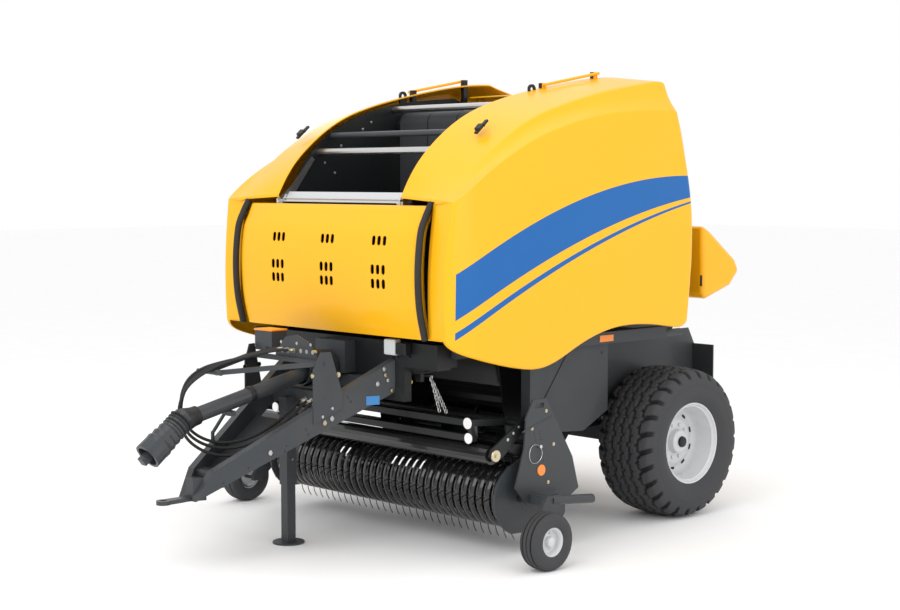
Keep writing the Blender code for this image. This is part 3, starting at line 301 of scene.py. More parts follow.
def painted_over(mat, bands, colour, side_x, start_y):
    """Paints bands over a finish: a point is inside one where its height lies between two curves of its y.

    Each curve is a + b y + c y^2, and the paint is only where |x| is over side_x and y over start_y.
    """
    x, y, z = parts_of_place(mat)

    def work(operation, a, b):
        return math_node(mat.node_tree.nodes, mat.node_tree.links, operation, a, b)

    def curve(points):
        c, b, a = np.polyfit(*zip(*points), 2)
        return work("ADD", float(a), work("MULTIPLY", y, work("ADD", float(b),
                                                              work("MULTIPLY", y, float(c)))))

    total = 0.0
    for low, high in bands:
        inside = work("MULTIPLY", work("GREATER_THAN", z, curve(low)), work("LESS_THAN", z, curve(high)))
        total = work("MAXIMUM", inside, total)
    total = work("MULTIPLY", total, work("GREATER_THAN", work("ABSOLUTE", x, 0.0), side_x))
    mixed_over(mat, work("MULTIPLY", total, work("GREATER_THAN", y, start_y)), colour)


BLUE = (0.0, 0.110, 0.375)
YELLOW = (0.93, 0.455, 0.004)
GLOSSY = dict(colour=YELLOW, rough=0.34, coat=0.14, grain=260, fleck=0.015, bump=0.02, depth=0.0004)
yellow, panel_paint = finish("yellow_paint", **GLOSSY), finish("panel_paint", **GLOSSY)
frame_paint = finish("frame_paint", (0.040, 0.045, 0.050), 0.42, coat=0.1, grain=180, fleck=0.12, soil=0.07)
BLACK = dict(colour=(0.010, 0.011, 0.012), rough=0.40, coat=0.05, grain=150, fleck=0.15, soil=0.03)
# The first is plain black paint; the second, for the side walls, is partly their own dark paint and partly painted
# shade for the inside of the chamber.
black_paint, wall_paint_and_painted_shade = finish("black_paint", **BLACK), finish("wall_paint_and_painted_shade", **BLACK)
gloss_black = finish("band_paint", (0.012, 0.012, 0.013), 0.20, coat=0.6, grain=90, fleck=0.1, soil=0.02)
rubber = finish("rubber", (0.022, 0.022, 0.023), 0.62, grain=220, fleck=0.15, bump=0.15, soil=0.05)
tyre_rubber = finish("tyre_rubber", (0.046, 0.047, 0.050), 0.66, grain=160, fleck=0.15, bump=0.25, soil=0.25,
                     soil_colour=(0.07, 0.065, 0.06))
belt_rubber = finish("belt_rubber", (0.040, 0.043, 0.047), 0.55, grain=420, fleck=0.25, bump=0.35, soil=0.06)
rim_paint = finish("rim_paint", (0.60, 0.61, 0.62), 0.26, coat=0.3, grain=120, fleck=0.02, soil=0.12,
                   soil_colour=(0.55, 0.52, 0.48))
bare_steel = finish("bare_steel", (0.62, 0.62, 0.61), 0.32, metal=1.0, grain=300, fleck=0.08, bump=0.08)
zinc = finish("zinc", (0.62, 0.55, 0.38), 0.30, metal=1.0, grain=300, fleck=0.12)
tray_silver = finish("tray_silver", (0.66, 0.67, 0.68), 0.38, metal=0.6, grain=200, fleck=0.05)
spring_steel = finish("spring_steel", (0.05, 0.05, 0.055), 0.30, metal=0.8, grain=200, fleck=0.1)
amber = finish("amber", (0.95, 0.25, 0.01), 0.18, coat=0.8, grain=500, fleck=0.1, bump=0.3)
white_glass = finish("white_glass", (0.85, 0.85, 0.84), 0.15, coat=0.8, grain=500, fleck=0.05, bump=0.3)
red_glass = finish("red_glass", (0.55, 0.01, 0.008), 0.18, coat=0.8, grain=500, fleck=0.1, bump=0.3)
brass = finish("brass", (0.70, 0.45, 0.12), 0.28, metal=1.0, grain=300, fleck=0.1)
blue_film = finish("blue_film", (0.05, 0.22, 0.50), 0.35, grain=300, fleck=0.05)
box_grey = finish("box_grey", (0.52, 0.55, 0.56), 0.45, grain=200, fleck=0.04)
# Each stripe's lower and upper edge, as three points (y, z) of a curve, and where the paint begins.
STRIPE = ([(-0.888, 1.531), (0.03, 1.934), (1.358, 2.261)],
          [(-0.896, 1.809), (0.028, 2.208), (1.311, 2.41)])
THIN_STRIPE = ([(-0.888, 1.410), (0.03, 1.835), (1.358, 2.222)],
               [(-0.888, 1.456), (0.03, 1.868), (1.358, 2.236)])
STRIPE_FROM_X, STRIPE_FROM_Y = 1.10, -0.892
painted_over(panel_paint, [STRIPE, THIN_STRIPE], BLUE, STRIPE_FROM_X, STRIPE_FROM_Y)


def darker_where_shaded(mat, colour):
    """Mixes in a colour by the piece's shade attribute, 0 on top and 1 at the foot of a groove."""
    own = mat.node_tree.nodes.new("ShaderNodeAttribute")
    own.attribute_name = "shade"
    mixed_over(mat, own.outputs["Fac"], colour)


darker_where_shaded(tyre_rubber, (0.004, 0.004, 0.004))


# ---------------------------------------------------------------- putting a piece in the scene

def cleaned(mesh, merge=True, outwards=True):
    """Merges a mesh's doubles and turns its faces outwards."""
    work = bmesh.new()
    work.from_mesh(mesh)
    if merge:
        bmesh.ops.remove_doubles(work, verts=work.verts, dist=1e-6)
    if outwards:
        bmesh.ops.recalc_face_normals(work, faces=work.faces)
    work.to_mesh(mesh)
    work.free()


def placed(name, mesh):
    obj = bpy.data.objects.new(name, mesh)
    bpy.context.scene.collection.objects.link(obj)
    return obj


def mesh_of(name, shape):
    mesh = bpy.data.meshes.new(name)
    mesh.from_pydata(shape[0].tolist(), [], [f for group in shape[1] for f in group.tolist()])
    return mesh


def put(name, shape, body, mat, slot, closed=True, smooth=38, bevel=0.0, wall=0.0, sub=0, replaces=(),
        shade=None):
    """Makes a piece: doubles merged, a closed one's faces turned outwards, bevel and wall as modifiers."""
    mesh = mesh_of(name, shape)
    if shade is not None:
        mesh.attributes.new("shade", "FLOAT",
                            "POINT").data.foreach_set("value", np.ravel(shade).astype(np.float32))
    cleaned(mesh, outwards=closed)
    mesh.materials.append(mat)
    mesh.shade_smooth()
    mesh.set_sharp_from_angle(angle=math.radians(smooth))
    obj = placed(name, mesh)
    if sub:
        mod = obj.modifiers.new("round", "SUBSURF")
        mod.levels = mod.render_levels = sub
    if wall:
        mod = obj.modifiers.new("wall", "SOLIDIFY")
        mod.thickness, mod.offset = wall, -1
    if bevel:
        mod = obj.modifiers.new("edge", "BEVEL")
        mod.width, mod.segments, mod.limit_method = bevel, 2, "ANGLE"
        mod.angle_limit = math.radians(35)
    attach(obj, body)
    if replaces:
        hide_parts(*replaces)
    return obj


def put_side(s, name, shape, *rest, **more):
    """Makes the left (1) or right (-1) piece from the left one's shape."""
    return put(name + "_" + SIDE[s], sided(shape, s), *rest, **more)


floor = bpy.data.meshes.new("floor")
floor.from_pydata([(-60, -60, 0), (60, -60, 0), (60, 60, 0), (-60, 60, 0)], [], [(0, 1, 2, 3)])
floor.materials.append(finish("floor_white", (0.97, 0.97, 0.97), 0.9, grain=3, fleck=0.01))
placed("floor", floor)


# ---------------------------------------------------------------- hoses

HOSE_R = 0.010
HOSE_ROUTES = {
    1: [(0.02, -1.2856, 1.300), (0.02, -1.32, 1.300), (-0.01, -1.40, 1.302), (-0.07, -1.58, 1.267),
        (-0.12, -1.80, 1.213), (-0.14, -1.95, 1.120), (-0.15, -2.00, 0.970), (-0.14, -1.96, 0.820),
        (-0.10, -1.84, 0.730), (-0.04, -1.68, 0.705), (0.03, -1.52, 0.752), (0.05, -1.30, 0.868),
        (0.05, -1.19, 0.950), (0.05, -1.1203, 0.965)],
    2: [(0.08, -1.2856, 1.300), (0.08, -1.32, 1.300), (0.05, -1.40, 1.307), (-0.03, -1.58, 1.272),
        (-0.085, -1.80, 1.213), (-0.105, -1.98, 1.110), (-0.115, -2.04, 0.950), (-0.105, -1.99, 0.790),
        (-0.06, -1.86, 0.690), (0.00, -1.70, 0.668), (0.08, -1.54, 0.742), (0.11, -1.30, 0.868),
        (0.11, -1.19, 0.950), (0.11, -1.1203, 0.965)],
    3: [(-0.04, -1.2856, 1.300), (-0.04, -1.32, 1.300), (-0.08, -1.40, 1.297), (-0.12, -1.58, 1.255),
        (-0.165, -1.80, 1.213), (-0.185, -1.93, 1.130), (-0.195, -1.97, 0.990), (-0.185, -1.93, 0.850),
        (-0.15, -1.82, 0.760), (-0.09, -1.68, 0.732), (-0.02, -1.52, 0.770), (-0.01, -1.30, 0.870),
        (-0.01, -1.19, 0.950), (-0.01, -1.1203, 0.965)]}
for number, route in HOSE_ROUTES.items():
    path = smooth_path(route, 2)
    path[1], path[-2] = (path[0] + path[2]) / 2, (path[-1] + path[-3]) / 2
    fine_path = smooth_path(path, 4)
    hose = put("hose_line_%d" % number, tube(fine_path, HOSE_R, 12), "chassis", rubber, "rubber",
               replaces=("hose_%d" % number,))
    collars = []
    for end, way in ((path[0], path[2] - path[0]), (path[-1], path[-3] - path[-1])):
        way = way / np.linalg.norm(way)
        collars.append(tube(end + way[None] * np.array([0.0, 0.012, 0.013, 0.030, 0.031, 0.055])[:, None],
                            [0.0155, 0.0155, 0.0135, 0.0135, 0.0128, 0.0124], 12))
    ends = put("hose_ends_%d" % number, join(*collars), "chassis", zinc if number == 2 else bare_steel,
               "silver")


# ---------------------------------------------------------------- side panels

def panel_net():
    """The net of a side panel: rows from the roof's inner edge down to the foot, columns from nose to tail.

    The side is a Coons patch: bottom and crease lines blended with the nose and tail lines, less the corners.
    The roof rows run from the crease over a flat chamfer to the inner edge. The tail columns turn inwards.
    """
    u = np.array([0, 0.015, 0.05, 0.12, 0.2, 0.28, 0.36, 0.44, 0.52, 0.6, 0.68, 0.76, 0.84, 0.91, 0.96, 0.985,
                  1.0])
    v = np.array([1, 0.985, 0.92, 0.8, 0.68, 0.55, 0.42, 0.3, 0.18, 0.08, 0.03, 0.0])
    foot = along([(-0.944, 1.405), (-0.915, 1.345), (-0.792, 1.299), (-0.532, 1.229), (-0.262, 1.176),
                  (-0.123, 1.168), (0.018, 1.215), (0.21, 1.308), (0.406, 1.373), (0.608, 1.407),
                  (0.815, 1.407),
                  (1.028, 1.387), (1.247, 1.353), (1.32, 1.385)], u)
    crease = along([(-0.905, 2.245), (-0.742, 2.363), (-0.591, 2.462), (-0.226, 2.637), (0.05, 2.722),
                    (0.327, 2.788), (0.709, 2.836), (1.126, 2.848), (1.20, 2.84)], u)
    ridge = along([(-0.915, 2.24), (-0.735, 2.365), (-0.634, 2.462), (-0.48, 2.585), (-0.11, 2.79),
                   (0.451, 2.945),
                   (0.838, 3.015), (1.10, 3.055), (1.18, 3.05)], u)
    brow = along([(-0.862, 2.285), (-0.71, 2.516), (-0.36, 2.78), (0.05, 2.925), (0.59, 3.04), (0.95, 3.092),
                  (1.17, 3.103)], u)
    nose = along([(-0.944, 1.405), (-0.955, 1.60), (-0.948, 1.90), (-0.905, 2.245)], v)
    tail = along([(1.32, 1.385), (1.345, 1.70), (1.362, 1.98), (1.352, 2.20), (1.31, 2.42), (1.20, 2.84)], v)
    uu, vv = u[None, :, None], v[:, None, None]
    corners = ((1 - uu) * (1 - vv) * foot[0] + uu * (1 - vv) * foot[-1]
               + (1 - uu) * vv * crease[0] + uu * vv * crease[-1])
    side = ((1 - vv) * foot[None] + vv * crease[None]
            + (1 - uu) * nose[:, None] + uu * tail[:, None] - corners)
    # The side swells by up to BULGE round its middle, and draws in by up to NOSE_IN at the nose.
    upright = np.clip(1 - ((side[..., 1] - 1.98) / 0.80) ** 2, 0, 1)
    lengthways = np.clip(1 - ((side[..., 0] - 0.2) / 1.6) ** 2, 0, 1)
    bulge = BULGE * upright * lengthways
    nose_round = NOSE_IN * np.clip((-0.76 - side[..., 0]) / 0.19, 0, 1) ** 2
    rows = [np.concatenate([(PANEL_X + bulge - nose_round)[..., None], side], axis=-1)]

    def roof(x, line):
        return np.concatenate([np.full((len(line), 1), x), line], axis=1)

    def between(a, b, share):
        return a * (1 - share) + b * share

    low, high, inner = rows[0][0], roof(1.06, ridge), roof(0.625, brow)
    high[0] = (1.045, -0.905, 2.26)
    sink = np.array([0.016, 0, 0.012]) * np.clip(np.arange(len(u)) - 1, 0, 3)[:, None] / 3
    top = [inner - (0, 0, 0.012), inner - (0, 0, 0.003), inner, between(inner, high, 0.06),
           between(inner, high, 0.3),
           between(inner, high, 0.62), between(inner, high, 0.90), high, between(high, low, 0.06),
           between(high, low, 0.5) - sink, between(high, low, 0.94)]
    net = np.concatenate([np.stack(top), rows[0]])
    # Tail columns: the back slope to the rear edge, then the rear wall turned in.
    last = net[:, -1]
    rear = smooth_path([(1.42, 3.045), (1.455, 3.00), (1.51, 2.93), (1.583, 2.66), (1.660, 2.30),
                        (1.696, 1.98),
                        (1.69, 1.70), (1.60, 1.44)], 12)[::-1]
    high_z = np.concatenate([np.linspace(3.045, 2.90, len(top)),
                             np.interp(last[len(top):, 2], (1.385, 2.84), (1.44, 2.87))])
    edge = np.stack([np.interp(high_z, rear[:, 1], rear[:, 0]), high_z], axis=1)
    back = np.concatenate([np.interp(np.arange(len(net)), [0, 8, 13, len(net)],
                                     [0.625, 0.80, 0.912, 0.915])[:, None],
                           edge], axis=1)
    back[0, 2] -= 0.012
    columns = [last * 0.94 + back * 0.06, last * 0.5 + back * 0.5, last * 0.05 + back * 0.95, back]
    wall = back.copy()
    wall[:, 0] = np.minimum(back[:, 0], 0.74)
    columns += [back * 0.92 + wall * 0.08, wall]
    # Nose columns: the front edge turned in to the hood's seal, and down under the roof.
    first = net[:, 0]
    turned_in = first.copy()
    k = len(top)
    turned_in[k:, 0] = 0.955
    turned_in[k:, 1] += 0.012
    turned_in[:k, 2] -= 0.018
    turned_in[:k, 0] = np.minimum(turned_in[:k, 0], 1.00)
    columns = [turned_in, turned_in * 0.1 + first * 0.9] + list(net.transpose(1, 0, 2)) + columns
    net = np.stack(columns, axis=1)
    lip = net[-1:].copy()
    lip[..., 0] = np.minimum(lip[..., 0], np.maximum(lip[..., 0] - 0.03, 0.72))
    return np.concatenate([net, lip + (0, 0, 0.004)])


panel = sheet(panel_net())
for s in BOTH:
    skin = put_side(s, "panel_skin", panel, "side_panel_" + SIDE[s], panel_paint, "yellow",
               closed=False, smooth=80, sub=2, wall=0.008, replaces=("side_panel_" + SIDE[s],))
    # The inner face is plain yellow, with no stripe.
    skin.data.materials.append(yellow)
    skin.modifiers["wall"].material_offset = 1


# ---------------------------------------------------------------- hood

HOOD_LINE = [(-0.893, 2.212), (-0.925, 2.14), (-0.965, 2.05), (-0.985, 1.83), (-0.972, 1.60), (-0.935, 1.43),
             (-0.925, 1.402)]


def hood_skin():
    """A line in the y-z plane carried across the machine; its ends roll back round the sides."""
    line = along(HOOD_LINE, np.linspace(0, 1, 22))
    line = np.concatenate([[(-0.850, 2.218), (-0.882, 2.219)], line, [(-0.90, 1.398), (-0.86, 1.402)]])
    x = np.array([-0.90, -0.899, -0.893, -0.878, -0.85, -0.6, -0.3, 0, 0.3, 0.6, 0.85, 0.878, 0.893, 0.899,
                  0.90])
    back = np.interp(np.abs(x), [0, 0.85, 0.878, 0.893, 0.899, 0.90], [0, 0, 0.003, 0.013, 0.03, 0.058])
    grid = np.zeros((len(x), len(line), 3))
    grid[..., 0] = x[:, None]
    grid[..., 1] = line[None, :, 0] + back[:, None]
    grid[..., 2] = line[None, :, 1]
    return sheet(grid)


def slots():
    """Upright ovals: a rectangle with a half circle at each end, carried through the hood's front."""
    a = np.linspace(0, math.pi, 9)
    ring = np.concatenate([np.stack([np.cos(a), np.sin(a)], 1) * 0.0170 + (0, 0.0145),
                           -np.stack([np.cos(a), np.sin(a)], 1) * 0.0170 - (0, 0.0145)])
    one = prism(ring, -1.05, -0.90, axis=1)
    across = (-0.523, -0.475, -0.426, -0.015, 0.035, 0.085, 0.492, 0.543, 0.595)
    return repeated(one, [(x, 0, z) for x in across for z in (2.003, 1.822, 1.732)])


hood = put("hood_skin", hood_skin(), "front_hood", yellow, "yellow", closed=False, smooth=50, wall=0.005,
           replaces=("front_hood",))
cutter = placed("slots", mesh_of("slots", slots()))
cleaned(cutter.data, merge=False)
mod = hood.modifiers.new("slots", "BOOLEAN")
mod.operation, mod.object, mod.solver = "DIFFERENCE", cutter, "EXACT"
bpy.context.view_layer.update()
baked = bpy.data.meshes.new_from_object(hood.evaluated_get(bpy.context.evaluated_depsgraph_get()))
hood.modifiers.clear()
hood.data = baked
bpy.data.objects.remove(cutter)
# A black sheet just behind the hood's front: painted shade, so that the slots show the dark under the hood.
put("hood_slot_painted_shade", box(-0.80, 0.80, -0.905, -0.900, 1.46, 2.14), "front_hood", black_paint, "black",
    bevel=0.001)

# ---------------------------------------------------------------- wheels

def tyre(width, radius, bead, turns, tread):
    """A tyre about the x axis: a smooth half section, mirrored, less the tread's depth at each point."""
    w, r = width / 2, radius
    span = r - bead
    half = smooth_path([(0.76 * w, bead), (0.86 * w, bead + 0.09 * span), (0.985 * w, bead + 0.30 * span),
                        (w, bead + 0.50 * span), (0.972 * w, bead + 0.69 * span),
                        (0.91 * w, bead + 0.83 * span),
                        (0.80 * w, bead + 0.925 * span), (0.45 * w, bead + 0.985 * span), (0, r)], 6)
    section = np.concatenate([half, (half * (-1, 1))[-2::-1]])
    a = np.linspace(0, 2 * math.pi, turns, endpoint=False)
    x = np.broadcast_to(section[:, :1], (len(section), turns))
    sunk = tread(x, a[None, :], section[:, 1:])
    rad = section[:, 1:] - sunk
    grid = np.stack([x, rad * np.cos(a), rad * np.sin(a)], axis=-1)
    return sheet(grid, loop_u=True, loop_v=True), np.clip(sunk / sunk.max(), 0, 1)


def field_tread(x, a, r):
    """Five wavy grooves round the tyre and slanted gaps between its lugs, 16 mm deep with sloping walls."""
    wave = 0.013 * (2 / math.pi) * np.arcsin(np.sin(26 * a))
    lines = np.stack([np.abs(x - k - wave) for k in (-0.148, -0.074, 0.0, 0.074, 0.148)]).min(axis=0)
    groove = np.clip((0.0115 - lines) / 0.004, 0, 1) * (np.abs(x) < 0.175)
    turn = (26 * a / (2 * math.pi) + (np.abs(x) - 0.15) * 3.2 + 0.25) % 1
    gap = np.clip((0.17 - np.abs(turn - 0.5)) / 0.05, 0, 1) * np.clip((np.abs(x) - 0.158) / 0.006, 0, 1)
    gap = gap * np.clip((r - 0.452) / 0.035, 0, 1)
    ring = 0.003 * np.clip(1 - np.abs(r - 0.415) / 0.004, 0, 1)
    return 0.016 * np.maximum(groove, gap) + ring


def ribbed_tread(x, a, r):
    """Three grooves round a small tyre."""
    ribs = np.abs(np.abs(x[..., None] - (-0.034, 0.0, 0.034))).min(axis=-1)
    return 0.007 * np.clip((0.005 - ribs) / 0.002, 0, 1) * (r > 0.15)


def moved(shape, by):
    """A shape moved by a step."""
    return shape[0] + np.asarray(by, float), shape[1]


big_tyre, big_shade = tyre(0.50, WHEEL_R, 0.262, 600, field_tread)
small_tyre, small_shade = tyre(0.14, GAUGE_R, 0.086, 120, ribbed_tread)
RIM = [(0.262, -0.21), (0.284, -0.212), (0.290, -0.203), (0.286, -0.195), (0.268, -0.19), (0.262, -0.15),
       (0.248, -0.12),
       (0.245, 0.09), (0.262, 0.14), (0.267, 0.188), (0.282, 0.195), (0.289, 0.203), (0.290, 0.212),
       (0.284, 0.219),
       (0.276, 0.216), (0.270, 0.200), (0.258, 0.192), (0.253, 0.150), (0.240, 0.110), (0.236, 0.075),
       (0.222, 0.052),
       (0.200, 0.043), (0.178, 0.050), (0.160, 0.066), (0.140, 0.070), (0.100, 0.070), (0.088, 0.072),
       (0.084, 0.086),
       (0.082, 0.112), (0.074, 0.120), (0.040, 0.123), (0, 0.124), (0, 0.04), (0.09, 0.04), (0.15, 0.050),
       (0.18, 0.034), (0.20, 0.030), (0.228, 0.038), (0.238, 0.06), (0.236, -0.11), (0.252, -0.14),
       (0.255, -0.20)]
SMALL_RIM = [(0.086, -0.052), (0.092, -0.055), (0.092, -0.048), (0.080, -0.04), (0.078, 0.04), (0.092, 0.048),
             (0.093, 0.055), (0.088, 0.058), (0.082, 0.052), (0.075, 0.040), (0.070, 0.018), (0.050, 0.012),
             (0.034, 0.016), (0.030, 0.045), (0.024, 0.050), (0, 0.051), (0, 0.0), (0.06, 0.0),
             (0.070, -0.045)]
for s in BOTH:
    wheel, gauge = "wheel_" + SIDE[s], "gauge_wheel_" + SIDE[s]
    centre, small = (s * WHEEL_X, WHEEL_Y, WHEEL_R), (s * GAUGE_X, GAUGE_Y, GAUGE_R)
    put("tyre_tread_" + SIDE[s], moved(sided(big_tyre, s), centre), wheel, tyre_rubber, "tyre", smooth=32,
        shade=big_shade,
        replaces=("tyre_" + SIDE[s],))
    put("gauge_tread_" + SIDE[s], moved(sided(small_tyre, s), small), gauge, tyre_rubber, "tyre", smooth=32,
        shade=small_shade,
        replaces=("gauge_tyre_" + SIDE[s],))
    put("rim_dish_" + SIDE[s], moved(sided(spun(RIM, 0, (0, 0, 0), 96), s), centre), wheel, rim_paint, "rim",
        smooth=40,
        replaces=("rim_" + SIDE[s],))
    put("gauge_dish_" + SIDE[s], moved(sided(spun(SMALL_RIM, 0, (0, 0, 0), 48), s), small), gauge, rim_paint,
        "rim",
        replaces=("gauge_rim_" + SIDE[s],))
    around = np.arange(10) * 2 * math.pi / 10
    studs = join(*[bolt((0.070, 0.118 * math.cos(a), 0.118 * math.sin(a)), 0, 0.012) for a in around])
    put("wheel_nuts_" + SIDE[s], moved(sided(studs, s), centre), wheel, bare_steel, "silver")
    # Black discs where the rim's holes are: painted shade of the holes.
    holes = join(*[spun([(0, 0), (0.021, 0), (0.021, 0.004), (0, 0.004)], 0,
                        (0.0425, 0.201 * math.cos(a + 0.3), 0.201 * math.sin(a + 0.3)), 16) for a in around])
    put("rim_hole_painted_shade_" + SIDE[s], moved(sided(holes, s), centre), wheel, black_paint, "black")
    hub = spun([(0, 0.120), (0.036, 0.120), (0.040, 0.127), (0.036, 0.140), (0.020, 0.146), (0, 0.147)], 0,
               (0, 0, 0), 24)
    put("hub_cap_" + SIDE[s], moved(sided(hub, s), centre), wheel, black_paint, "black")
    put("gauge_nuts_" + SIDE[s], moved(sided(join(*[bolt((0.013, 0.052 * math.cos(a), 0.052 * math.sin(a)), 0,
                                                         0.007)
                                                   for a in np.arange(5) * 2 * math.pi / 5]), s), small),
        gauge, bare_steel, "silver")


# ---------------------------------------------------------------- pick-up

def band_strip():
    """A U of strip steel round the reel: two straights and a half circle, its section a shallow crown."""
    a = np.linspace(math.pi / 2, 3 * math.pi / 2, 30)
    r = 0.203
    path = np.concatenate([[(0.0, r), (-0.10, r), (-0.22, r)],
                           np.stack([REEL_Y + r * np.cos(a), r * np.sin(a)], 1),
                           [(-0.22, -r), (-0.10, -r), (-0.03, -r)]])
    path = path + (0, REEL_Z)
    out = np.gradient(path, axis=0)
    out /= np.linalg.norm(out, axis=1)[:, None]
    out = np.stack([out[:, 1], -out[:, 0]], 1)
    b = np.linspace(-1, 1, 9)
    crown = 0.011 * (1 - b ** 2)
    section = np.concatenate([np.stack([0.026 * b, crown - 0.009], 1),
                              np.stack([0.022 * b[::-1], crown[::-1] - 0.013], 1)])
    grid = np.zeros((len(path), len(section), 3))
    grid[..., 0] = section[None, :, 0]
    grid[..., 1:] = path[:, None] + out[:, None] * section[None, :, 1:]
    return capped(sheet(grid, loop_v=True), len(path), len(section))


PITCH = 0.0688
bands = repeated(band_strip(), [(PITCH * k, 0, 0) for k in range(-16, 17)])
rails = [box(-1.1347, 1.1347, -0.035, 0.0, 0.541, 0.571), box(-1.1347, 1.1347, -0.05, -0.01, 0.168, 0.198)]
put("pickup_strips", join(bands, *rails), "pickup", gloss_black, "black", smooth=50,
    replaces=("pickup_bands",))


def tines():
    """Spring tines in pairs on four bars: each leans out from its bar, and its tip bends back."""
    one = []
    for a in REEL_BARS:
        turn = np.array([[math.cos(a), -math.sin(a)], [math.sin(a), math.cos(a)]])
        line = smooth_path([(REEL_BAR_CIRCLE, -0.012), (0.175, -0.010), (0.215, -0.004), (0.250, 0.006),
                            (0.283, 0.026)], 2)
        line = line @ turn.T + (REEL_Y, REEL_Z)
        one.append(tube(np.column_stack([np.zeros(len(line)), line]), 0.0032, 6, refer=(1, 0, 0)))
        centre = np.array([REEL_BAR_CIRCLE, 0.0]) @ turn.T + (REEL_Y, REEL_Z)
        coil = [(0.006, -0.012), (0.026, -0.012), (0.026, 0.012), (0.006, 0.012)]
        one.append(spun(coil + coil[:1], 0, (0, centre[0], centre[1]), 10))
    places = [(PITCH * (k + 0.5), 0, 0) for k in range(-16, 16)]
    return repeated(join(*one), places)


put("reel_tines", tines(), "pickup_reel", spring_steel, "tine", smooth=60)
bars = [rod((-REEL_HALF, y, z), (REEL_HALF, y, z), 0.013, 12)
        for y, z in zip(REEL_Y + REEL_BAR_CIRCLE * np.cos(REEL_BARS), REEL_Z + REEL_BAR_CIRCLE * np.sin(REEL_BARS))]
discs = [spun([(0, -0.004), (0.165, -0.004), (0.168, 0), (0.165, 0.004), (0, 0.004)], 0, (x, REEL_Y, REEL_Z),
              40)
         for x in (-REEL_HALF, -0.38, 0.38, REEL_HALF)]
put("reel_frame", join(rod((-1.153, REEL_Y, REEL_Z), (1.153, REEL_Y, REEL_Z), 0.030, 20), *bars, *discs),
    "pickup_reel", black_paint, "black", replaces=("pickup_reel",))

# ---------------------------------------------------------------- hood surround and roof

for s in BOTH:
    seal_line = along([(-0.885, 2.240), (-0.938, 2.15), (-0.978, 2.05), (-1.000, 1.83), (-0.988, 1.60),
                       (-0.942, 1.40)],
                      np.linspace(0, 1, 30))
    seal = tube(np.column_stack([np.full(30, 0.929), seal_line]), 0.0225, 14, flat=0.95, refer=(1, 0, 0))
    put_side(s, "nose_seal", seal, "side_panel_" + SIDE[s], rubber, "rubber")
    latch = join(prism([(-0.475, 2.668), (-0.375, 2.752), (-0.382, 2.764), (-0.482, 2.680)], 0.885, 0.912),
                 prism([(-0.462, 2.690), (-0.425, 2.722), (-0.432, 2.738), (-0.469, 2.706)], 0.874, 0.924),
                 rod((0.868, -0.428, 2.722), (0.930, -0.428, 2.722), 0.006, 10))
    put_side(s, "panel_latch", latch, "side_panel_" + SIDE[s], black_paint, "black", bevel=0.002)
    bracket = join(box(0.585, 0.640, -0.862, -0.828, 2.222, 2.246),
                   prism([(-0.858, 2.24), (-0.818, 2.24), (-0.80, 2.285), (-0.826, 2.285)], 0.590, 0.597),
                   bolt((0.612, -0.848, 2.246), 2, 0.007))
    put_side(s, "hood_bracket", bracket, "chassis", bare_steel, "silver", bevel=0.0015)
    wall_bolts = join(*[bolt((0.628, y, z), 0, 0.007, -1) for y, z in
                        ((-0.45, 2.50), (-0.30, 2.62), (-0.10, 2.74), (0.02, 2.70), (-0.36, 2.43),
                         (-0.02, 2.79))])
    put_side(s, "roof_bolts", wall_bolts, "chassis", bare_steel, "silver")
put("tray_rise", prism([(-0.835, 2.236), (-0.832, 2.233), (-0.795, 2.300), (-0.800, 2.302)], -0.585, 0.585),
    "chassis",
    tray_silver, "silver")

# ---------------------------------------------------------------- drawbar, hose rack and shaft


def beam_x(y, out=0.0):
    """The middle of a drawbar beam across the machine: it splays by 0.363 of the way back."""
    return 0.45 + 0.363 * (y + 1.00) + out


def beam_bolts(spots, radius, s=1):
    """Bolt heads on the outer face of one drawbar beam."""
    return join(*[bolt((s * beam_x(y, 0.0315), y, z), 0, radius, s) for y, z in spots])


for s in BOTH:
    put("drawbar_bolts_" + SIDE[s], beam_bolts(
        [(-0.909, 1.186), (-0.884, 1.113), (-0.952, 1.093), (-1.30, 0.905), (-1.24, 0.955), (-1.24, 0.890),
         (-1.62, 0.70)],
        0.011, s), "chassis", bare_steel, "silver")
    put("drawbar_gold_bolts_" + SIDE[s], beam_bolts(
        [(-0.900, 1.147), (-0.859, 1.047), (-1.285, 0.865), (-1.36, 1.165), (-1.20, 1.165)], 0.011, s),
        "chassis", zinc, "silver")
    # Gloss-black dots where the beam's holes are: painted shade of the holes.
    dots = join(*[spun([(0, 0), (0.007, 0), (0.007, 0.0006 * s), (0, 0.0006 * s)], 0,
                       (s * beam_x(y, 0.0312), y, z), 10)
                  for y, z in ((-1.40, 0.83), (-1.385, 0.80), (-1.52, 0.735), (-1.53, 0.705), (-1.75, 0.615),
                               (-1.90, 0.535),
                               (-1.14, 1.02), (-1.12, 0.99))])
    put("drawbar_hole_painted_shade_" + SIDE[s], dots, "chassis", gloss_black, "black")
label = turned(box(-0.0008, 0.0008, -0.045, 0.045, -0.028, 0.028),
               [[0.94, 0.34, 0], [-0.34, 0.94, 0], [0, 0, 1]],
               (beam_x(-0.984, 0.0325), -0.984, 0.990))
put("blank_label", label, "chassis", blue_film, "silver")

PTO_HINGE, PTO_ELBOW, PTO_TIP = (-1.05, 1.155), (-2.10, 0.920), (-2.387, 0.700)
lead = np.array([0.0, *PTO_TIP]) - np.array([0.0, *PTO_ELBOW])
lead_length = float(np.linalg.norm(lead))
lead /= lead_length
shaft_root, shaft_elbow = np.array([0.0, *PTO_HINGE]), np.array([0.0, *PTO_ELBOW])


def shaft_ring(path_start, way, steps):
    """Rings along a straight axis: each step is (distance along it, radius)."""
    steps = np.asarray(steps, float)
    return tube(path_start + way * steps[:, :1], steps[:, 1], 36)


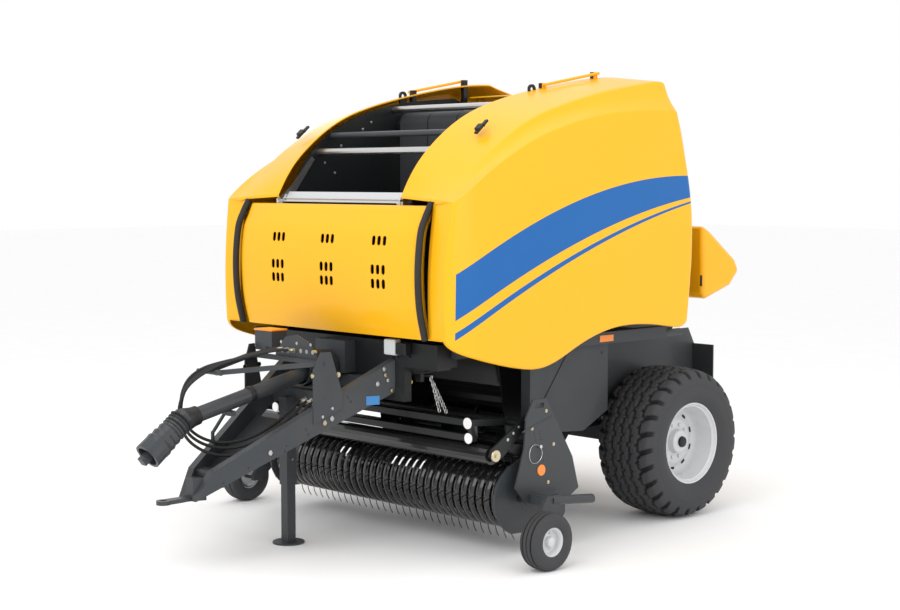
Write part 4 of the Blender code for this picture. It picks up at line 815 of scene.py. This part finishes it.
share = np.linspace(0, 0.205, 60)
bellows = shaft_ring(shaft_elbow, lead,
                     np.column_stack([share, 0.072 + 0.013 * np.cos(share * 2 * math.pi / 0.0255)
                                                      - 0.012 * share / 0.2]))
cone = shaft_ring(shaft_elbow, lead, [(0.203, 0.066), (0.215, 0.080), (0.250, 0.082), (0.256, 0.076),
                                      (0.262, 0.078),
                                   (0.290, 0.084), (0.296, 0.080), (0.296, 0.060)])
put("shaft_bellows", join(bellows, cone), "pto_shaft", rubber, "rubber", smooth=60)
collar = [shaft_ring(shaft_root, (shaft_elbow - shaft_root) / np.linalg.norm(shaft_elbow - shaft_root),
                     steps) for steps in (
    [(0.955, 0.049), (0.960, 0.060), (1.000, 0.062), (1.050, 0.074), (1.062, 0.070)],
    [(0.52, 0.0485), (0.525, 0.053), (0.56, 0.053), (0.565, 0.0485)])]
put("shaft_collars", join(*collar), "pto_shaft", black_paint, "black")

bell = spun([(0.092, 0.0), (0.107, -0.01), (0.118, -0.13), (0.122, -0.20), (0.118, -0.204), (0.112, -0.13),
             (0.100, -0.012), (0.088, -0.004)], 1, (0, -0.935, 1.168), 48)
put("bell_lip", bell, "chassis", rubber, "rubber")

# ---------------------------------------------------------------- pick-up sides, guard and under the hood


def disc(place, axis, radius, high, out=1):
    """A round plate with a softened rim, standing on a face."""
    return spun([(0, 0), (radius, 0), (radius, 0.7 * high * out), (0.94 * radius, high * out),
                 (0, high * out)], axis, place, 28)


for s in BOTH:
    gold = join(*[bolt((1.2275, y, z), 0, 0.008) for y, z in ((-0.17, 0.92), (-0.30, 0.82), (-0.10, 0.70),
                                                              (-0.15, 0.46))])
    put_side(s, "pickup_bolts", gold, "pickup", zinc, "silver")
    # Two rows of dots where the side's holes are: painted shade of the holes.
    rows = np.linspace(0, 1, 9)
    dots = join(*[disc((1.2272, -0.275 + 0.05 * k + 0.035 * t,
                        0.79 - 0.19 * t + 0.02 * math.sin(math.pi * t)), 0, 0.0065, 0.0006)
                  for k in (0, 1) for t in rows])
    put_side(s, "pickup_hole_painted_shade", dots, "pickup", gloss_black, "black")
    put_side(s, "side_reflector", disc((1.2272, -0.215, 0.545), 0, 0.036, 0.006), "pickup", amber, "yellow")
    a = np.linspace(0, 2 * math.pi, 40, endpoint=False)
    loop = np.stack([1.234 + 0.004 * np.cos(2 * a), -0.275 + 0.058 * np.cos(a), 0.655 + 0.060 * np.sin(a)],
                    axis=1)
    ring = np.concatenate([loop, loop[:1]])
    put_side(s, "pin_lanyard", join(tube(ring, 0.0016, 6, refer=(1, 0, 0)),
                                    disc((1.228, -0.235, 0.70), 0, 0.012, 0.018)),
        "pickup", bare_steel, "silver")
    rib = prism([(-0.395, 0.80), (-0.385, 0.812), (-0.115, 0.885), (-0.122, 0.873)], 1.2272, 1.2295)
    put_side(s, "handle_crease", rib, "pickup", frame_paint, "frame_grey")
    cap = join(disc((1.170, -0.57, 0.67), 0, 0.038, 0.010), bolt((1.180, -0.57, 0.67), 0, 0.013))
    put_side(s, "roller_cap", cap, "windguard", zinc, "silver")
    arm_bolts = join(*[bolt((1.1705, y, z), 0, 0.007) for y,
                       z in ((-0.46, 0.76), (-0.41, 0.795), (-0.36, 0.83), (-0.30, 0.87))])
    put_side(s, "arm_bolts", arm_bolts, "windguard", bare_steel, "silver")
    white = join(disc((1.000, -0.6455, 0.864), 1, 0.036, 0.006, -1),
                 disc((0.985, -0.6225, 0.765), 1, 0.034, 0.006, -1))
    put_side(s, "front_reflector", white, "windguard", white_glass, "silver")
    plate = prism([(-0.02, 0.70), (0.02, 0.70), (0.42, 1.22), (0.38, 1.22)], 0.9005, 0.905)
    put_side(s, "shield_rib", join(plate, disc((0.9005, 0.12, 0.80), 0, 0.045, 0.014),
                                            *[bolt((0.9005, y, z), 0, 0.007) for y,
                                              z in ((0.03, 1.22), (0.03, 0.95), (0.74, 1.2), (0.74, 0.75))]),
        "chassis", frame_paint, "frame_grey")
    put_side(s, "rail_reflector", box(0.981, 0.984, 0.62, 0.76, 1.285, 1.33), "chassis", amber, "yellow",
             bevel=0.001)
    tail_lamp = box(0.70, 0.84, 2.0455, 2.062, 1.02, 1.09)
    put_side(s, "tail_lamp", tail_lamp, "chassis", red_glass, "black", bevel=0.004)


def chain(top, foot, link=0.030, wire=0.0032):
    """Links down a straight line: each is a flattened ring, and every other one is turned a quarter."""
    top, foot = np.asarray(top, float), np.asarray(foot, float)
    count = int(np.linalg.norm(foot - top) / (link * 0.72))
    a = np.linspace(0, 2 * math.pi, 14)
    made = []
    for k in range(count):
        middle = top + (foot - top) * (k + 0.5) / count
        across, up = 0.010 * np.cos(a), 0.5 * link * np.sin(a)
        flat = np.zeros_like(a)
        line = np.stack([across, flat, up] if k % 2 else [flat, across, up], axis=1) + middle
        made.append(tube(line, wire, 6, refer=(0, 1, 0) if k % 2 else (1, 0, 0)))
    return join(*made)


put("safety_chains", join(chain((0.636, -0.62, 1.128), (0.719, -0.62, 0.905)),
                          chain((0.640, -0.628, 1.120), (0.784, -0.62, 0.905))),
    "chassis", bare_steel, "silver")
put("chain_hook", join(rod((0.636, -0.70, 1.135), (0.636, -0.60, 1.135), 0.008),
                       box(0.61, 0.66, -0.73, -0.70, 1.10, 1.19)),
    "chassis", black_paint, "black", bevel=0.002)
put("light_box", box(0.500, 0.604, -0.905, -0.845, 1.278, 1.378), "chassis", box_grey, "frame_grey",
    bevel=0.010)
put("dark_box", box(0.606, 0.70, -0.90, -0.845, 1.285, 1.36), "chassis", black_paint, "black", bevel=0.006)
put("tie_tube", rod((-0.045, -0.76, 1.10), (0.60, -0.76, 1.10), 0.016, 16), "chassis", brass, "silver")
under = []
for k, (start, end, sag) in enumerate((((0.30, -0.80, 1.24), (0.86, -0.72, 1.24), 0.07),
                                       ((0.34, -0.80, 1.22), (0.88, -0.70, 1.22), 0.06),
                                       ((0.50, -0.86, 1.28), (0.70, -0.74, 1.20), 0.05),
                                       ((0.66, -0.86, 1.29), (0.86, -0.70, 1.24), 0.06),
                                       ((0.56, -0.86, 1.28), (0.62, -0.72, 1.18), 0.03))):
    t = np.linspace(0, 1, 24)[:, None]
    line = np.array(start) * (1 - t) + np.array(end) * t
    line[:, 2] -= 4 * sag * (t * (1 - t))[:, 0]
    under.append(tube(line, 0.007 if k < 2 else 0.005, 8, refer=(0, 0.3, 1)))
put("harness_lines", join(*under), "chassis", rubber, "rubber")
put("drive_blocks", join(box(0.70, 0.86, -0.70, -0.60, 1.20, 1.34), box(0.73, 0.82, -0.73, -0.70, 1.22, 1.31),
                         rod((0.60, -0.66, 1.27), (0.70, -0.66, 1.27), 0.045, 20),
                         box(0.665, 0.69, -0.72, -0.52, 1.18, 1.34)),
    "chassis", black_paint, "black", bevel=0.004)
put("drive_unions", join(*[tube(np.array([(0.78, -0.73, z), (0.78, -0.76, z), (0.775, -0.79, z - 0.02)]),
                                [0.013, 0.013, 0.009], 10)
                           for z in (1.25, 1.29)], rod((0.84, -0.70, 1.29), (0.88, -0.76, 1.23), 0.010)),
    "chassis", zinc, "silver")
put("rack_unions", join(*[rod((x, -1.287, 1.300), (x, -1.262, 1.300), 0.014, 12) for x in (-0.04, 0.02, 0.08,
                                                                                           0.14, 0.20, 0.26)],
                        *[bolt((x, -1.2855, 1.345), 1, 0.007, -1) for x in (-0.06, 0.10, 0.24)]), "chassis",
    bare_steel, "silver")
put("box_lid", box(-0.365, -0.175, -1.276, -1.145, 1.4005, 1.412), "chassis", amber, "yellow", bevel=0.003)
put("hair_pin", join(rod((-0.21, -1.16, 0.56), (-0.11, -1.16, 0.56), 0.008), tube(smooth_path(
    [(-0.215, -1.16, 0.56), (-0.225, -1.175, 0.53), (-0.215, -1.19, 0.50), (-0.205, -1.175, 0.53)], 4), 0.002,
                                                                                  6)),
    "chassis", zinc, "silver")

pod = [(1.91, 2.05), (2.00, 2.005), (2.31, 1.785), (2.36, 1.70), (2.25, 1.59), (1.97, 1.505), (1.915, 1.52)]
put("pod_skin", prism(pod, -0.8495, 0.8495), "tailgate", yellow, "yellow", smooth=60, bevel=0.030,
    replaces=("tailgate_pod",))

# ---------------------------------------------------------------- finishes for what the frame already shapes

def seams_along(mat, apart, half_wide, colour):
    """Dark seams between belts side by side: one on the machine's middle, and one each side of it."""
    nodes, links = mat.node_tree.nodes, mat.node_tree.links
    off = math_node(nodes, links, "ABSOLUTE", parts_of_place(mat)[0], 0.0)
    outer = math_node(nodes, links, "ABSOLUTE", math_node(nodes, links, "SUBTRACT", off, apart), 0.0)
    nearest = math_node(nodes, links, "MINIMUM", off, outer)
    mixed_over(mat, math_node(nodes, links, "LESS_THAN", nearest, half_wide), colour)


seams_along(belt_rubber, 0.293, 0.006, (0.004, 0.004, 0.004))

NODE_FINISH = {
    "front_belts": belt_rubber, "rear_belts": belt_rubber, "tailgate_pod": yellow, "tailgate_cover": yellow,
    "silver_tray": tray_silver, "roof_tube_front": bare_steel, "roof_tube_rear": frame_paint,
    "roof_tube_top": bare_steel, "windguard_roller": gloss_black, "crop_deflector": gloss_black,
    "hood_strut_left": bare_steel, "hood_strut_right": bare_steel}
# The hinge rods are the side walls' only faces this high and this far out.
HINGE_ROD_X, HINGE_ROD_Z, ABOVE_ALL, ANY_Y = 0.662, 2.985, 4.0, -9.0
# The near-black on these parts and on the side walls is partly their own dark paint and partly painted shade, for
# the dark inside of the machine.
for name in ("belt_roller_top", "front_frame", "feed_rotor", "feeder_floor", "floor_roller", "pickup_frame",
             "windguard_frame", "front_deck"):
    NODE_FINISH[name] = black_paint
NODE_FINISH["side_wall_left"] = NODE_FINISH["side_wall_right"] = wall_paint_and_painted_shade
painted_over(wall_paint_and_painted_shade, [([(y, HINGE_ROD_Z) for y in (0, 1, 2)], [(y, ABOVE_ALL) for y in (0, 1, 2)])],
             YELLOW, HINGE_ROD_X, ANY_Y)
for name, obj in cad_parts.items():
    mat = NODE_FINISH.get(name, frame_paint)
    for own in obj.material_slots:
        own.material = mat
    if not obj.material_slots:
        obj.data.materials.append(mat)
